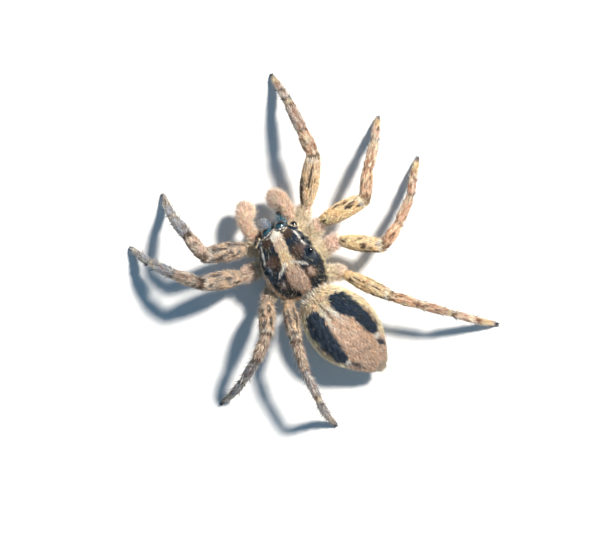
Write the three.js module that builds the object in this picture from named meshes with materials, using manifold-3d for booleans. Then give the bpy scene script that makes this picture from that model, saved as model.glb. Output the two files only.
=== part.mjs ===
// A jumping spider at life size, standing on all eight feet with its body turned a little at the waist.
// Millimetres, +Z up. The head points to -Y, so the animal's right side is -X. The origin is on the floor
// under the middle of the leg span.
import * as THREE from "three";
import { mergeVertices } from "three/addons/utils/BufferGeometryUtils.js";
import Module from "manifold-3d";

const wasm = await Module();
wasm.setup();

// ---- Driving dimensions -------------------------------------------------------------------------

const GAP = 0.03; // the thin cut between two neighbouring parts
const LIMB_SIDES = 10; // facets round a limb
const BODY_MESH = { sides: 20, rings: 14 }; // facets of the carapace and the abdomen
const PLATE_MESH = { sides: 12, rings: 8 }; // facets of the sternum
const SPAN_CENTRE = [-0.734, 1.271]; // middle of the leg span, seen from the head's own origin

const HEAD_ROLL = 8; // degrees: the animal leans, and shows its right flank from above
const HEAD_ROLL_HEIGHT = 2.7; // the height that the lean turns about
const WAIST_TURN = 16.2; // degrees that the abdomen swings to the animal's right
const ABDOMEN_ROLL = 4;

const COXA_HEIGHT = 1.05;
const HIP_HEIGHT = { right: 1.5, left: 1.25 }; // where the femora start: the lean lifts the right side
const FOOT_HEIGHT = 0.13; // height of a toe's axis: less than its radius, so that it stands on a small flat

// Length of femur, patella, tibia, metatarsus and tarsus for each pair of legs.
const BONE_LENGTHS = {
  1: [2.75, 1.27, 2.02, 1.19, 0.76],
  2: [2.75, 1.43, 1.79, 1.04, 0.69],
  3: [2.41, 1.3, 1.66, 1.33, 0.96],
  4: [2.82, 1.39, 1.83, 2.05, 0.96],
};
// Greatest width of coxa, femur, patella, tibia, metatarsus and tarsus for each pair.
const BONE_WIDTHS = {
  1: [0.76, 1.08, 0.86, 0.78, 0.6, 0.48],
  2: [0.74, 1.05, 0.8, 0.72, 0.57, 0.48],
  3: [0.72, 0.95, 0.75, 0.67, 0.56, 0.48],
  4: [0.72, 0.86, 0.7, 0.62, 0.54, 0.48],
};

// The stance. hip: where the femur starts, seen from above. aim: the direction of each bone from above,
// in degrees from +X. height: that of the far end of femur, patella, tibia and metatarsus.
const STANCE = {
  right_leg_1: { hip: [-2.05, -0.57], aim: [-126, -94, -92, -87, -85], height: [2.45, 2.27, 1.33, 0.51] },
  right_leg_2: { hip: [-2.3, 0.43], aim: [180, -123, -132, -123, -131], height: [2.54, 2.23, 1.32, 0.49] },
  right_leg_3: { hip: [-2.67, 1.62], aim: [145, -152, -142, -126, -133], height: [2.15, 1.99, 1.39, 0.61] },
  right_leg_4: { hip: [-2.12, 3.17], aim: [127, 135, 137, 137, 143], height: [2.46, 2.33, 1.99, 0.66] },
  left_leg_1: { hip: [1.53, -0.11], aim: [-18, -80, -77, -89, -97], height: [2.93, 3.17, 1.55, 0.52] },
  left_leg_2: { hip: [2.31, 1.05], aim: [-18, -47, -52, -63, -68], height: [2.94, 2.39, 1.3, 0.52] },
  left_leg_3: { hip: [1.8, 2.61], aim: [61, 40, 30, 27, 12], height: [2.85, 2.85, 1.78, 0.65] },
  left_leg_4: { hip: [0.91, 3.09], aim: [74, 79, 87, 88, 107], height: [3.05, 2.96, 2.74, 0.84] },
};

// Where the four coxae of one side leave the sternum: [from the midline, behind the front side eyes].
const COXA_ROOTS = [[0.62, 0.4], [0.74, 1.1], [0.74, 1.8], [0.44, 2.45]];

// Stations of the carapace from face to waist: [behind the front side eyes, half width, top, margin].
const CARAPACE = [
  [-0.42, 0.4, 2.16, 1.68],
  [-0.32, 0.76, 2.36, 1.5],
  [-0.1, 1.04, 2.5, 1.38],
  [0.35, 1.25, 2.63, 1.28],
  [0.9, 1.43, 2.76, 1.22],
  [1.5, 1.58, 2.84, 1.17],
  [2.05, 1.62, 2.76, 1.13],
  [2.6, 1.45, 2.34, 1.12],
  [3.02, 1.08, 1.86, 1.12],
  [3.25, 0.62, 1.5, 1.14],
  [3.32, 0.3, 1.36, 1.18],
];

// Stations of the abdomen from the waist to the spinnerets: [distance along it, half width, top, bottom].
const ABDOMEN = [
  [0.04, 0.3, 1.72, 1.2],
  [0.16, 0.7, 2.2, 0.94],
  [0.6, 1.2, 2.62, 0.68],
  [1.3, 1.58, 2.88, 0.52],
  [2.2, 1.83, 3.0, 0.46],
  [3.0, 1.8, 2.94, 0.5],
  [3.8, 1.53, 2.66, 0.6],
  [4.5, 1.04, 2.2, 0.72],
  [5.0, 0.6, 1.76, 0.82],
  [5.2, 0.3, 1.52, 0.98],
];
const ABDOMEN_START = [-0.2, 3.24];

// The eight eyes: [from the midline, behind the front side eyes, height, radius].
const EYES = {
  anterior_median: [0.36, -0.27, 2.04, 0.33],
  anterior_lateral: [1.01, -0.07, 2.18, 0.2],
  posterior_median: [1.19, 0.72, 2.46, 0.08],
  posterior_lateral: [1.2, 1.43, 2.57, 0.2],
};

// Colours of the coat and the hard parts, with how rough each one is.
const COLOURS = {
  tan: [0xdcb58c, 0.8],
  coxa: [0xdcb9a4, 0.8],
  black_hair: [0x333c46, 0.7],
  cream: [0xd2b79c, 0.85],
  palp: [0xe0c2a6, 0.9],
  chelicera: [0x2c4550, 0.35],
  lens: [0x0b1216, 0.08],
  sternum: [0xb08d70, 0.75],
};

// ---- Shape helpers ------------------------------------------------------------------------------

const radians = THREE.MathUtils.degToRad;
const vector = (...xyz) => new THREE.Vector3(...xyz);
const UP = vector(0, 0, 1);
const RIGHT_AND_LEFT = { right: -1, left: 1 }; // the sign of X on each side

// One closed skin over a row of rings with equally many points, with a fan of triangles at each end.
function loft(rings) {
  const sides = rings[0].length;
  const points = rings.flat();
  const index = [];
  for (let ring = 0; ring + 1 < rings.length; ring++) {
    for (let side = 0; side < sides; side++) {
      const a = ring * sides + side;
      const b = ring * sides + ((side + 1) % sides);
      index.push(a, a + sides, b, b, a + sides, b + sides);
    }
  }
  const lastRing = points.length - sides;
  for (const [start, turn] of [[0, 0], [lastRing, 1]]) {
    const middle = vector(0, 0, 0);
    for (let side = 0; side < sides; side++) middle.addScaledVector(points[start + side], 1 / sides);
    const hub = points.push(middle) - 1;
    for (let side = 0; side < sides; side++) {
      const here = start + side;
      const next = start + ((side + 1) % sides);
      index.push(hub, turn ? next : here, turn ? here : next);
    }
  }
  const geometry = new THREE.BufferGeometry().setFromPoints(points);
  geometry.setIndex(index);
  return geometry;
}

// A ring of points round a centre. A squareness under 1 fills the corners, and 1 is an ellipse.
function ringAt(centre, across, upward, halfWidth, halfHeight, sides, squareness = 1) {
  const bend = (value) => Math.sign(value) * Math.abs(value) ** squareness;
  return Array.from({ length: sides }, (_, side) => {
    const angle = (2 * Math.PI * side) / sides;
    return centre
      .clone()
      .addScaledVector(across, halfWidth * bend(Math.cos(angle)))
      .addScaledVector(upward, halfHeight * bend(Math.sin(angle)));
  });
}

// A smooth body lofted along +Y through rows of [y, half width, top, bottom], made fatter by extra.
function bodyLoft(stations, mesh, squareness, extra = 0) {
  const places = stations.map((row) => row[0]);
  const values = stations.flatMap((row) => row.slice(1));
  const smooth = new THREE.CubicInterpolant(places, values, 3);
  const rings = Array.from({ length: mesh.rings }, (_, ring) => {
    // Rings crowd towards both ends, where the body turns quickly.
    const share = (1 - Math.cos((Math.PI * ring) / (mesh.rings - 1))) / 2;
    const y = THREE.MathUtils.lerp(places[0], places.at(-1), share);
    const [halfWidth, top, bottom] = smooth.evaluate(y);
    const centre = vector(0, y + extra * (2 * share - 1), (top + bottom) / 2);
    const halfHeight = (top - bottom) / 2 + extra;
    return ringAt(centre, vector(1, 0, 0), UP, halfWidth + extra, halfHeight, mesh.sides, squareness);
  });
  return loft(rings);
}

// Moves each point of a ring along the bone until it lies on the joint's own plane, past it by shift.
function cutToJoint(ring, direction, joint, normal, shift) {
  for (const point of ring) {
    const past = point.clone().sub(joint).dot(normal);
    point.addScaledVector(direction, (shift - past) / direction.dot(normal));
  }
  return ring;
}

// A limb from joint number first to joint number last of a chain, mitred to its neighbours at both ends.
// profiles holds, for each bone, stations of [share of its length, share of its width, and how far the bone
// bows upward there, as a share of its width].
function limbPiece(chain, first, last, widths, profiles, extra = 0, sides = LIMB_SIDES) {
  const direction = (bone) => chain[bone + 1].clone().sub(chain[bone]).normalize();
  const jointNormal = (joint) => {
    const before = direction(Math.max(joint - 1, 0));
    const after = direction(Math.min(joint, chain.length - 2));
    return before.add(after).normalize();
  };
  const rings = [];
  for (let bone = first; bone < last; bone++) {
    const along = direction(bone);
    const across = along.clone().cross(UP).normalize();
    const upward = across.clone().cross(along);
    for (const [share, girth, bow = 0] of profiles[bone]) {
      if (share === 0 && bone > first) continue; // the bone before has already made this joint's ring
      const half = (widths[bone] * girth) / 2 + extra;
      const centre = chain[bone].clone().lerp(chain[bone + 1], share);
      centre.addScaledVector(upward, bow * widths[bone]);
      const ring = ringAt(centre, across, upward, half, half, sides);
      const end = share === 0 ? bone : share === 1 ? bone + 1 : null;
      if (end !== null) {
        const shift = end === first ? GAP / 2 : end === last && last < chain.length - 1 ? -GAP / 2 : 0;
        cutToJoint(ring, along, chain[end], jointNormal(end), shift);
      }
      rings.push(ring);
    }
  }
  return loft(rings);
}

// ---- Solids: three.js geometry to manifold-3d and back ------------------------------------------

function solid(geometry, matrix = new THREE.Matrix4()) {
  const bare = geometry.clone().applyMatrix4(matrix);
  bare.deleteAttribute("normal");
  bare.deleteAttribute("uv");
  const merged = mergeVertices(bare, 1e-5);
  return new wasm.Manifold(
    new wasm.Mesh({
      numProp: 3,
      vertProperties: new Float32Array(merged.attributes.position.array),
      triVerts: new Uint32Array(merged.index.array),
    }),
  );
}

function geometryOf(shape) {
  const { vertProperties, triVerts } = shape.getMesh();
  const geometry = new THREE.BufferGeometry();
  geometry.setAttribute("position", new THREE.BufferAttribute(new Float32Array(vertProperties), 3));
  geometry.setIndex(new THREE.BufferAttribute(new Uint32Array(triVerts), 1));
  return geometry;
}

const cutBy = (shape, ...tools) => tools.reduce((rest, tool) => rest.subtract(tool), shape);
// A cut can leave slivers beside the part. Only the largest body is the part itself.
const largest = (shape) => shape.decompose().sort((a, b) => b.volume() - a.volume())[0];

// ---- The body's two frames ----------------------------------------------------------------------

const toModel = new THREE.Matrix4().makeTranslation(-SPAN_CENTRE[0], -SPAN_CENTRE[1], 0);
const headFrame = toModel
  .clone()
  .multiply(new THREE.Matrix4().makeTranslation(0, 0, HEAD_ROLL_HEIGHT))
  .multiply(new THREE.Matrix4().makeRotationY(radians(HEAD_ROLL)))
  .multiply(new THREE.Matrix4().makeTranslation(0, 0, -HEAD_ROLL_HEIGHT));
const abdomenMiddle = (ABDOMEN[4][2] + ABDOMEN[4][3]) / 2;
const abdomenFrame = toModel
  .clone()
  .multiply(new THREE.Matrix4().makeTranslation(...ABDOMEN_START, abdomenMiddle))
  .multiply(new THREE.Matrix4().makeRotationZ(radians(WAIST_TURN)))
  .multiply(new THREE.Matrix4().makeRotationY(radians(ABDOMEN_ROLL)))
  .multiply(new THREE.Matrix4().makeTranslation(0, 0, -abdomenMiddle));

// ---- The model ----------------------------------------------------------------------------------

const spider = new THREE.Group();
const materials = Object.fromEntries(
  Object.entries(COLOURS).map(([name, [color, roughness]]) => [
    name,
    new THREE.MeshStandardMaterial({ name, color, roughness, metalness: 0 }),
  ]),
);

// Adds a solid as a named mesh whose own position is at its anchor, so that it turns about that point.
function addPart(name, shape, colour, anchor) {
  const geometry = geometryOf(largest(shape)).translate(-anchor.x, -anchor.y, -anchor.z);
  const mesh = new THREE.Mesh(geometry, materials[colour]);
  mesh.name = name;
  mesh.position.copy(anchor);
  spider.add(mesh);
}
const inHead = (x, y, z) => vector(x, y, z).applyMatrix4(headFrame);

// Eyes: balls set into the carapace, so that only their lenses stand out.
const eyes = [];
for (const [kind, [fromMidline, behind, height, radius]] of Object.entries(EYES)) {
  for (const [side, sign] of Object.entries(RIGHT_AND_LEFT)) {
    const centre = inHead(sign * fromMidline, behind, height);
    const facets = radius > 0.3 ? [12, 8] : [8, 6];
    const ball = (extra) => solid(new THREE.SphereGeometry(radius + extra, ...facets),
      new THREE.Matrix4().setPosition(centre));
    eyes.push({ name: `eye_${kind}_${side}`, centre, lens: ball(0), socket: ball(GAP) });
  }
}

// Carapace: the high shield over head and chest, with eight sockets.
const CARAPACE_SQUARENESS = 0.78;
const shield = (extra) => solid(bodyLoft(CARAPACE, BODY_MESH, CARAPACE_SQUARENESS, extra), headFrame);
const sockets = eyes.map((eye) => eye.socket);
addPart("carapace", cutBy(shield(0), ...sockets), "black_hair", inHead(0, 1.5, 1.9));
for (const eye of eyes) addPart(eye.name, eye.lens, "lens", eye.centre);
const roomForShield = shield(GAP);

// Sternum: the plate between the legs, with the mouth's labium and endites in front of it.
const STERNUM = [
  [-0.3, 0.3, 1.42, 0.98],
  [-0.1, 0.44, 1.44, 0.82],
  [0.35, 0.56, 1.42, 0.76],
  [1.1, 0.72, 1.4, 0.72],
  [1.8, 0.72, 1.4, 0.72],
  [2.6, 0.5, 1.38, 0.78],
  [2.95, 0.22, 1.34, 0.92],
];
const STERNUM_SQUARENESS = 0.9;
const plate = (extra) => solid(bodyLoft(STERNUM, PLATE_MESH, STERNUM_SQUARENESS, extra), headFrame);
addPart("sternum", cutBy(plate(0), roomForShield), "sternum", inHead(0, 1.4, 1.05));
const roomForSternum = plate(GAP);

// Abdomen, pedicel and spinnerets.
const ABDOMEN_SQUARENESS = 0.94;
const belly = (extra) => solid(bodyLoft(ABDOMEN, BODY_MESH, ABDOMEN_SQUARENESS, extra), abdomenFrame);
const inAbdomen = (x, y, z) => vector(x, y, z).applyMatrix4(abdomenFrame);
const roomForAbdomen = belly(GAP);

const PEDICEL_RADIUS = 0.26;
const pedicelEnds = [inHead(0, 2.9, 1.2), inAbdomen(0, 0.4, 1.5)];
const pedicel = limbPiece(pedicelEnds, 0, 1, [2 * PEDICEL_RADIUS], [[[0, 1], [1, 1]]]);
const pedicelSolid = cutBy(solid(pedicel), roomForShield, roomForSternum, roomForAbdomen);
addPart("pedicel", pedicelSolid, "coxa", pedicelEnds[0].clone().lerp(pedicelEnds[1], 0.5));
addPart("abdomen", cutBy(belly(0), roomForShield), "cream", inAbdomen(0, 2.6, abdomenMiddle));

// Three pairs of spinnerets round the anal tubercle: [from the midline, height, length, radius].
const SPINNERETS = [[0.12, 1.12, 0.42, 0.11], [0.07, 1.24, 0.34, 0.09], [0.16, 1.34, 0.38, 0.1]];
const SPINNERET_START = 5.02;
const SPINNERET_PROFILE = [[0, 1], [0.8, 0.9], [1, 0.6]];
const SPINNERET_SIDES = 6;
const spinneret = (x, z, length, radius) => {
  const chain = [inAbdomen(x, SPINNERET_START, z), inAbdomen(x * 1.25, SPINNERET_START + length, z - 0.02)];
  return solid(limbPiece(chain, 0, 1, [2 * radius], [SPINNERET_PROFILE], 0, SPINNERET_SIDES));
};
const tubercleCentre = inAbdomen(0, 5.14, 1.24);
const tubercle = solid(new THREE.SphereGeometry(0.26, 9, 6), new THREE.Matrix4().setPosition(tubercleCentre));
const cluster = SPINNERETS
  .flatMap(([x, z, length, radius]) => [-1, 1].map((sign) => spinneret(sign * x, z, length, radius)))
  .reduce((all, one) => all.add(one), tubercle);
addPart("spinnerets", cutBy(cluster, roomForAbdomen), "cream", tubercleCentre);

// Chelicerae: the two jaws under the big front eyes, leaning forward, with their fangs folded beneath.
const CHELICERA_WIDTH = 0.8;
const CHELICERA_PROFILE = [[0, 0.6], [0.12, 0.88], [0.4, 1], [0.75, 0.9], [0.92, 0.66], [1, 0.4]];
const chelicerae = {};
for (const [side, sign] of Object.entries(RIGHT_AND_LEFT)) {
  const chain = [inHead(sign * 0.36, -0.26, 1.74), inHead(sign * 0.45, -0.98, 0.86)];
  chelicerae[side] = (extra) => solid(limbPiece(chain, 0, 1, [CHELICERA_WIDTH], [CHELICERA_PROFILE], extra));
  const midplane = new THREE.BoxGeometry(4, 4, 4);
  const otherHalf = solid(midplane, headFrame.clone().multiply(
    new THREE.Matrix4().makeTranslation(sign * (GAP / 2 - 2), -1, 1.5)));
  const jaw = cutBy(chelicerae[side](0), roomForShield, roomForSternum, otherHalf, ...sockets);
  addPart(`chelicera_${side}`, jaw, "chelicera", chain[0]);
}
const roomForJaws = Object.values(chelicerae).map((jaw) => jaw(GAP));

// Palps: two short arms beside the jaws, each ending in a bushy club.
const PALP_WIDTHS = [0.56, 0.62, 0.84];
const PALP_PROFILES = [
  [[0, 0.9], [0.5, 1], [1, 0.95]],
  [[0, 1], [0.5, 1.05], [1, 1.05]],
  [[0, 0.85], [0.3, 1.16], [0.65, 1.2], [0.9, 0.86], [1, 0.5]],
];
const PALP_JOINTS = {
  right: [[-0.62, -0.1, 1.15], [-1.22, -0.62, 1.5], [-1.14, -1.2, 1.66], [-0.76, -1.98, 1.14]],
  left: [[0.6, -0.1, 1.12], [1.06, -0.74, 1.42], [1.0, -1.46, 1.6], [0.48, -2.08, 1.16]],
};
const roomForPalps = [];
for (const [side, joints] of Object.entries(PALP_JOINTS)) {
  const chain = joints.map((joint) => vector(...joint).applyMatrix4(toModel));
  const arm = solid(limbPiece(chain, 0, 2, PALP_WIDTHS, PALP_PROFILES));
  roomForPalps.push(solid(limbPiece(chain, 0, 2, PALP_WIDTHS, PALP_PROFILES, GAP)));
  const club = solid(limbPiece(chain, 2, 3, PALP_WIDTHS, PALP_PROFILES));
  addPart(`palp_${side}_arm`, cutBy(arm, roomForShield, roomForSternum, ...roomForJaws), "palp", chain[0]);
  addPart(`palp_${side}_club`, cutBy(club, ...roomForJaws), "palp", chain[2]);
}

// Legs: a coxa with its trochanter, then femur, patella, tibia, and a foot of metatarsus and tarsus.
const LEG_PROFILES = [
  [[0, 0.86], [0.58, 1], [0.72, 0.84], [0.84, 0.94], [1, 0.78]],
  [[0, 0.64], [0.12, 0.84, 0.05], [0.38, 1, 0.12], [0.72, 0.97, 0.1], [0.92, 0.84, 0.02], [1, 0.76]],
  [[0, 0.86], [0.3, 1.02, 0.03], [0.8, 1, 0.03], [1, 0.84]],
  [[0, 0.84], [0.2, 1], [0.7, 0.96], [0.93, 0.84], [1, 0.78]],
  [[0, 0.92], [0.3, 1.02], [1, 0.9]],
  [[0, 1], [0.7, 0.97], [1.02, 0.8], [1.2, 0.42]],
];
// Each piece of a leg: its name, the bones it holds, its colour.
const LEG_PIECES = [
  ["coxa", 0, 1, "coxa"],
  ["femur", 1, 2, "tan"],
  ["patella", 2, 3, "tan"],
  ["tibia", 3, 4, "tan"],
  ["foot", 4, 6, "tan"],
];
const floorSlab = solid(new THREE.BoxGeometry(60, 60, 2).translate(0, 0, -1));

// The joints of one leg: its root on the sternum, then a walk along the bones by aim and height.
function legChain(name) {
  const [side, , pair] = name.split("_");
  const [fromMidline, behind] = COXA_ROOTS[pair - 1];
  const { hip, aim, height } = STANCE[name];
  const root = inHead(RIGHT_AND_LEFT[side] * fromMidline, behind, COXA_HEIGHT);
  const chain = [root, vector(...hip, HIP_HEIGHT[side]).applyMatrix4(toModel)];
  BONE_LENGTHS[pair].forEach((length, bone) => {
    const from = chain.at(-1);
    const rise = (height[bone] ?? FOOT_HEIGHT) - from.z;
    const run = Math.sqrt(length ** 2 - rise ** 2);
    const turn = radians(aim[bone]);
    chain.push(from.clone().add(vector(run * Math.cos(turn), run * Math.sin(turn), rise)));
  });
  return chain;
}

let roomForLastCoxa = [];
for (const name of Object.keys(STANCE)) {
  const pair = Number(name.at(-1));
  const chain = legChain(name);
  const widths = BONE_WIDTHS[pair];
  if (pair === 1) roomForLastCoxa = []; // a new side of the body starts here
  for (const [piece, first, last, colour] of LEG_PIECES) {
    const shape = solid(limbPiece(chain, first, last, widths, LEG_PROFILES));
    const tools = piece === "coxa"
      ? [roomForSternum, roomForShield, ...roomForLastCoxa, ...roomForJaws, ...roomForPalps]
      : piece === "femur" ? [roomForShield, roomForAbdomen] : [floorSlab];
    addPart(`${name}_${piece}`, cutBy(shape, ...tools), colour, chain[first]);
  }
  roomForLastCoxa = [solid(limbPiece(chain, 0, 1, widths, LEG_PROFILES, GAP))];
}

export default spider;
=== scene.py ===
# %% [markdown]
# # A jumping spider, dressed over its solids
# The solids fix the size and stance of a spider whose body is nine millimetres long. This lesson
# covers them: one living skin from eyes to toes, eight glass-clear eyes, two horny jaws, and a coat
# of more than a hundred thousand small hairs. Each step first says what the real thing is, then how
# it is made and why.

# %% Load the solids
import math

import bmesh
import bpy
import numpy as np
from mathutils import Matrix, Vector
from mathutils.bvhtree import BVHTree


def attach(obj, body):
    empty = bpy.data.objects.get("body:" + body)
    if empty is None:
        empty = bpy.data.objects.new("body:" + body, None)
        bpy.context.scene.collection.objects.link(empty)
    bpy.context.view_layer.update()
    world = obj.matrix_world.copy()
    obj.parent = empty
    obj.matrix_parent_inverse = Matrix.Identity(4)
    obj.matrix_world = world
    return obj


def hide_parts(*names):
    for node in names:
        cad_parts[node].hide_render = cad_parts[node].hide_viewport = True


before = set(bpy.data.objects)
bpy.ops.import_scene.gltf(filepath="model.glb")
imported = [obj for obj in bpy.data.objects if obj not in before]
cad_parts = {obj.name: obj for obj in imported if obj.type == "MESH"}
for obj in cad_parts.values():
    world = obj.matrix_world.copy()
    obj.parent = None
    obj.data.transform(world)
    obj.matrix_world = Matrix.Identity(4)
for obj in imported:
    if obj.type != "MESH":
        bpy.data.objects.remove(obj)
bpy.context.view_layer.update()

MM = 0.001  # lengths below are in millimetres, and a mesh is turned to metres when it is finished
chance = np.random.default_rng(29)
print("solids:", len(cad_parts))

# %% [markdown]
# ## Where the joints are
# A spider's leg has seven pieces: coxa, trochanter, femur, patella, tibia, metatarsus and tarsus.
# Hair lies along each of them towards the toes, so every piece needs a centre line. It could be typed
# in by hand, but the solids already know it: where two of them face each other there is a joint, and
# the middle of those corners is the joint's centre.

# %% Corners, joints and centre lines
def corners(node):
    """The corner points of one solid in millimetres, each of them once."""
    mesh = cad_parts[node].data
    flat = np.empty(len(mesh.vertices) * 3, np.float32)
    mesh.vertices.foreach_get("co", flat)
    return np.unique(np.round(flat.reshape(-1, 3) / MM, 4), axis=0).astype(float)


def unit(vectors):
    """Vectors scaled to length one, along the last axis."""
    return vectors / np.maximum(np.linalg.norm(vectors, axis=-1, keepdims=True), 1e-9)


depsgraph = bpy.context.evaluated_depsgraph_get()
surfaces = {name: BVHTree.FromObject(solid, depsgraph) for name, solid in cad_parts.items()}
JOINT_GAP = 0.12  # corners of one solid that lie this close to the next belong to the joint


def joint(a, b):
    """The centre of the joint between two solids."""
    facing = [p for p in corners(a) if surfaces[b].find_nearest(Vector(p) * MM)[3] < JOINT_GAP * MM]
    return np.mean(facing, axis=0)


def centre_line(node, start, end, stretches=4):
    """Points down the middle of a solid, from start to end."""
    points = corners(node)
    share = (points - start) @ (end - start) / np.sum((end - start) ** 2)
    edges = np.linspace(0.08, 0.92, stretches + 1)
    line = [start]
    for low, high in zip(edges[:-1], edges[1:]):
        inside = points[(share > low) & (share < high)]
        if len(inside) >= 8:
            line.append(inside.mean(axis=0))
    return np.array([*line, end])


LEGS = [f"{side}_leg_{pair}" for side in ("right", "left") for pair in (1, 2, 3, 4)]
SEGMENTS = ("coxa", "femur", "patella", "tibia", "foot")
lines = {}
joints = []  # each joint's centre, with the two solids that meet there
for leg in LEGS:
    names = [f"{leg}_{segment}" for segment in SEGMENTS]
    bends = [joint(a, b) for a, b in zip(names[:-1], names[1:])]
    root = 2 * corners(names[0]).mean(axis=0) - bends[0]
    foot = corners(names[-1])
    far = foot[np.argmax(np.linalg.norm(foot - bends[-1], axis=1))]
    toe = foot[np.linalg.norm(foot - far, axis=1) < 0.2].mean(axis=0)
    stops = [root, *bends, toe]
    for name, start, end in zip(names, stops[:-1], stops[1:]):
        lines[name] = centre_line(name, start, end)
    joints += [(bend, a, b) for bend, a, b in zip(bends, names[:-1], names[1:])]
print("joints found:", len(joints))

# %% [markdown]
# ## Two frames for the body
# Head and chest are one stiff shield, and the abdomen swings on a narrow waist, so their markings are
# drawn in two frames of their own. The shield's frame comes from its side eyes, which are a mirror
# pair. The abdomen's comes from the line between its middle and its spinnerets.

# %% The shield's frame and the abdomen's frame
EYE_KINDS = ("anterior_median", "anterior_lateral", "posterior_median", "posterior_lateral")
eyes = {}
for kind in EYE_KINDS:
    for side in ("right", "left"):
        ball = corners(f"eye_{kind}_{side}")
        middle = (ball.min(axis=0) + ball.max(axis=0)) / 2
        eyes[kind, side] = (middle, np.linalg.norm(ball - middle, axis=1).max())

UP = np.array([0.0, 0.0, 1.0])
head_left = unit(eyes["posterior_lateral", "left"][0] - eyes["posterior_lateral", "right"][0])
head_back = unit(np.cross(UP, head_left))
head_up = np.cross(head_left, head_back)
front_eyes = (eyes["anterior_lateral", "left"][0] + eyes["anterior_lateral", "right"][0]) / 2
FRONT_EYES_BEHIND = -0.07  # the front side eyes' own place in the shield's frame
FRONT_EYES_HEIGHT = 2.18
head_origin = front_eyes - head_back * FRONT_EYES_BEHIND - head_up * FRONT_EYES_HEIGHT
HEAD_AXES = np.stack([head_left, head_back, head_up])

belly_middle = corners("abdomen").mean(axis=0)
spinnerets = corners("spinnerets").mean(axis=0)
abdomen_back = unit((spinnerets - belly_middle) * [1, 1, 0])
ABDOMEN_ROLL = math.radians(4)  # the abdomen leans half as far as the shield
level_left = np.cross(abdomen_back, UP)
abdomen_left = level_left * math.cos(ABDOMEN_ROLL) - UP * math.sin(ABDOMEN_ROLL)
abdomen_up = np.cross(abdomen_left, abdomen_back)
SPINNERETS_BEHIND = 5.2  # the spinnerets' own place in the abdomen's frame
SPINNERETS_HEIGHT = 1.24
abdomen_origin = spinnerets - abdomen_back * SPINNERETS_BEHIND - abdomen_up * SPINNERETS_HEIGHT
ABDOMEN_AXES = np.stack([abdomen_left, abdomen_back, abdomen_up])
print("shield's origin", head_origin.round(2), "abdomen's origin", abdomen_origin.round(2))

# %% [markdown]
# Four small functions go into these frames and out of them. With them the centre lines of head, chest,
# abdomen and waist are set out from listed points, and those of the palps come from their solids.

# %% Into the frames and out of them
def in_head(points):
    """Points as (to the animal's left, behind the face, up), in the shield's frame."""
    return (points - head_origin) @ HEAD_AXES.T


def in_abdomen(points):
    """Points as (to the animal's left, behind the waist, up), in the abdomen's frame."""
    return (points - abdomen_origin) @ ABDOMEN_AXES.T


def from_head(left, behind, up):
    """The place of a point that is given in the shield's frame."""
    return head_origin + np.array([left, behind, up]) @ HEAD_AXES


def from_abdomen(left, behind, up):
    """The place of a point that is given in the abdomen's frame."""
    return abdomen_origin + np.array([left, behind, up]) @ ABDOMEN_AXES


lines["carapace"] = np.array([from_head(0, y, 1.9) for y in (-0.45, 0.5, 1.5, 2.5, 3.35)])
lines["sternum"] = np.array([from_head(0, y, 1.1) for y in (-0.3, 1.3, 2.95)])
ABDOMEN_STOPS = ((0, 1.5), (1, 1.7), (3, 1.7), (5.2, 1.25))  # behind the waist and up
lines["abdomen"] = np.array([from_abdomen(0, y, z) for y, z in ABDOMEN_STOPS])
lines["pedicel"] = np.array([from_head(0, 2.9, 1.2), from_abdomen(0, 0.4, 1.5)])
lines["spinnerets"] = np.array([from_abdomen(0, 4.9, 1.3), from_abdomen(0, 5.6, 1.2)])
for side in ("right", "left"):
    arm, club = f"palp_{side}_arm", f"palp_{side}_club"
    elbow = joint(arm, club)
    start = corners(arm)[np.argmax(np.linalg.norm(corners(arm) - elbow, axis=1))]
    end = corners(club)[np.argmax(np.linalg.norm(corners(club) - elbow, axis=1))]
    lines[arm] = centre_line(arm, start, elbow, 3)
    lines[club] = centre_line(club, elbow, end, 2)
    joints.append((elbow, arm, club))
print("eyes:", len(eyes), "centre lines:", len(lines))

# %% [markdown]
# ## One skin
# A spider's cuticle is a closed shell from the face to the last toe, with soft folds at the joints,
# so it shouldn't show where one solid ends. Each solid is rounded with a subdivision surface and
# drawn in by the depth of hair that grows on it there. Balls of soft membrane fill the joints. A
# voxel remesh then melts the lot into one surface, which is how a sculptor would fuse limbs to a
# body.

# %% Read meshes and centre lines
def array_of(collection, attribute, width, kind=np.float32):
    """One attribute of a Blender collection as a table."""
    flat = np.empty(len(collection) * width, kind)
    collection.foreach_get(attribute, flat)
    return flat.reshape(-1, width)


def triangles_of(mesh):
    """The corner numbers of a mesh's triangles."""
    mesh.calc_loop_triangles()
    return array_of(mesh.loop_triangles, "vertices", 3, np.int32)


def along_line(line, points):
    """Share of the way along a centre line, its direction there, its nearest point and its length."""
    starts, ends = line[:-1], line[1:]
    spans = ends - starts
    lengths = np.linalg.norm(spans, axis=1)
    run = np.concatenate([[0], np.cumsum(lengths)])
    t = np.einsum("nsk,sk->ns", points[:, None] - starts[None], spans) / lengths**2
    t[:, 1:] = np.maximum(t[:, 1:], 0)
    t[:, :-1] = np.minimum(t[:, :-1], 1)
    nearest = starts[None] + t[..., None] * spans[None]
    pick = np.argmin(np.linalg.norm(points[:, None] - nearest, axis=2), axis=1)
    row = np.arange(len(points))
    distance = run[pick] + t[row, pick] * lengths[pick]
    return distance / run[-1], unit(spans)[pick], nearest[row, pick], run[-1]


print("longest centre line:", max(along_line(line, line[:1])[3] for line in lines.values()).round(2))

# %% [markdown]
# The hair is deepest where it covers a narrow waist of the leg: at the root of the thigh and on the
# toes. So the depth is given at the start, the middle and the end of each kind of piece, in
# millimetres.

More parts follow.
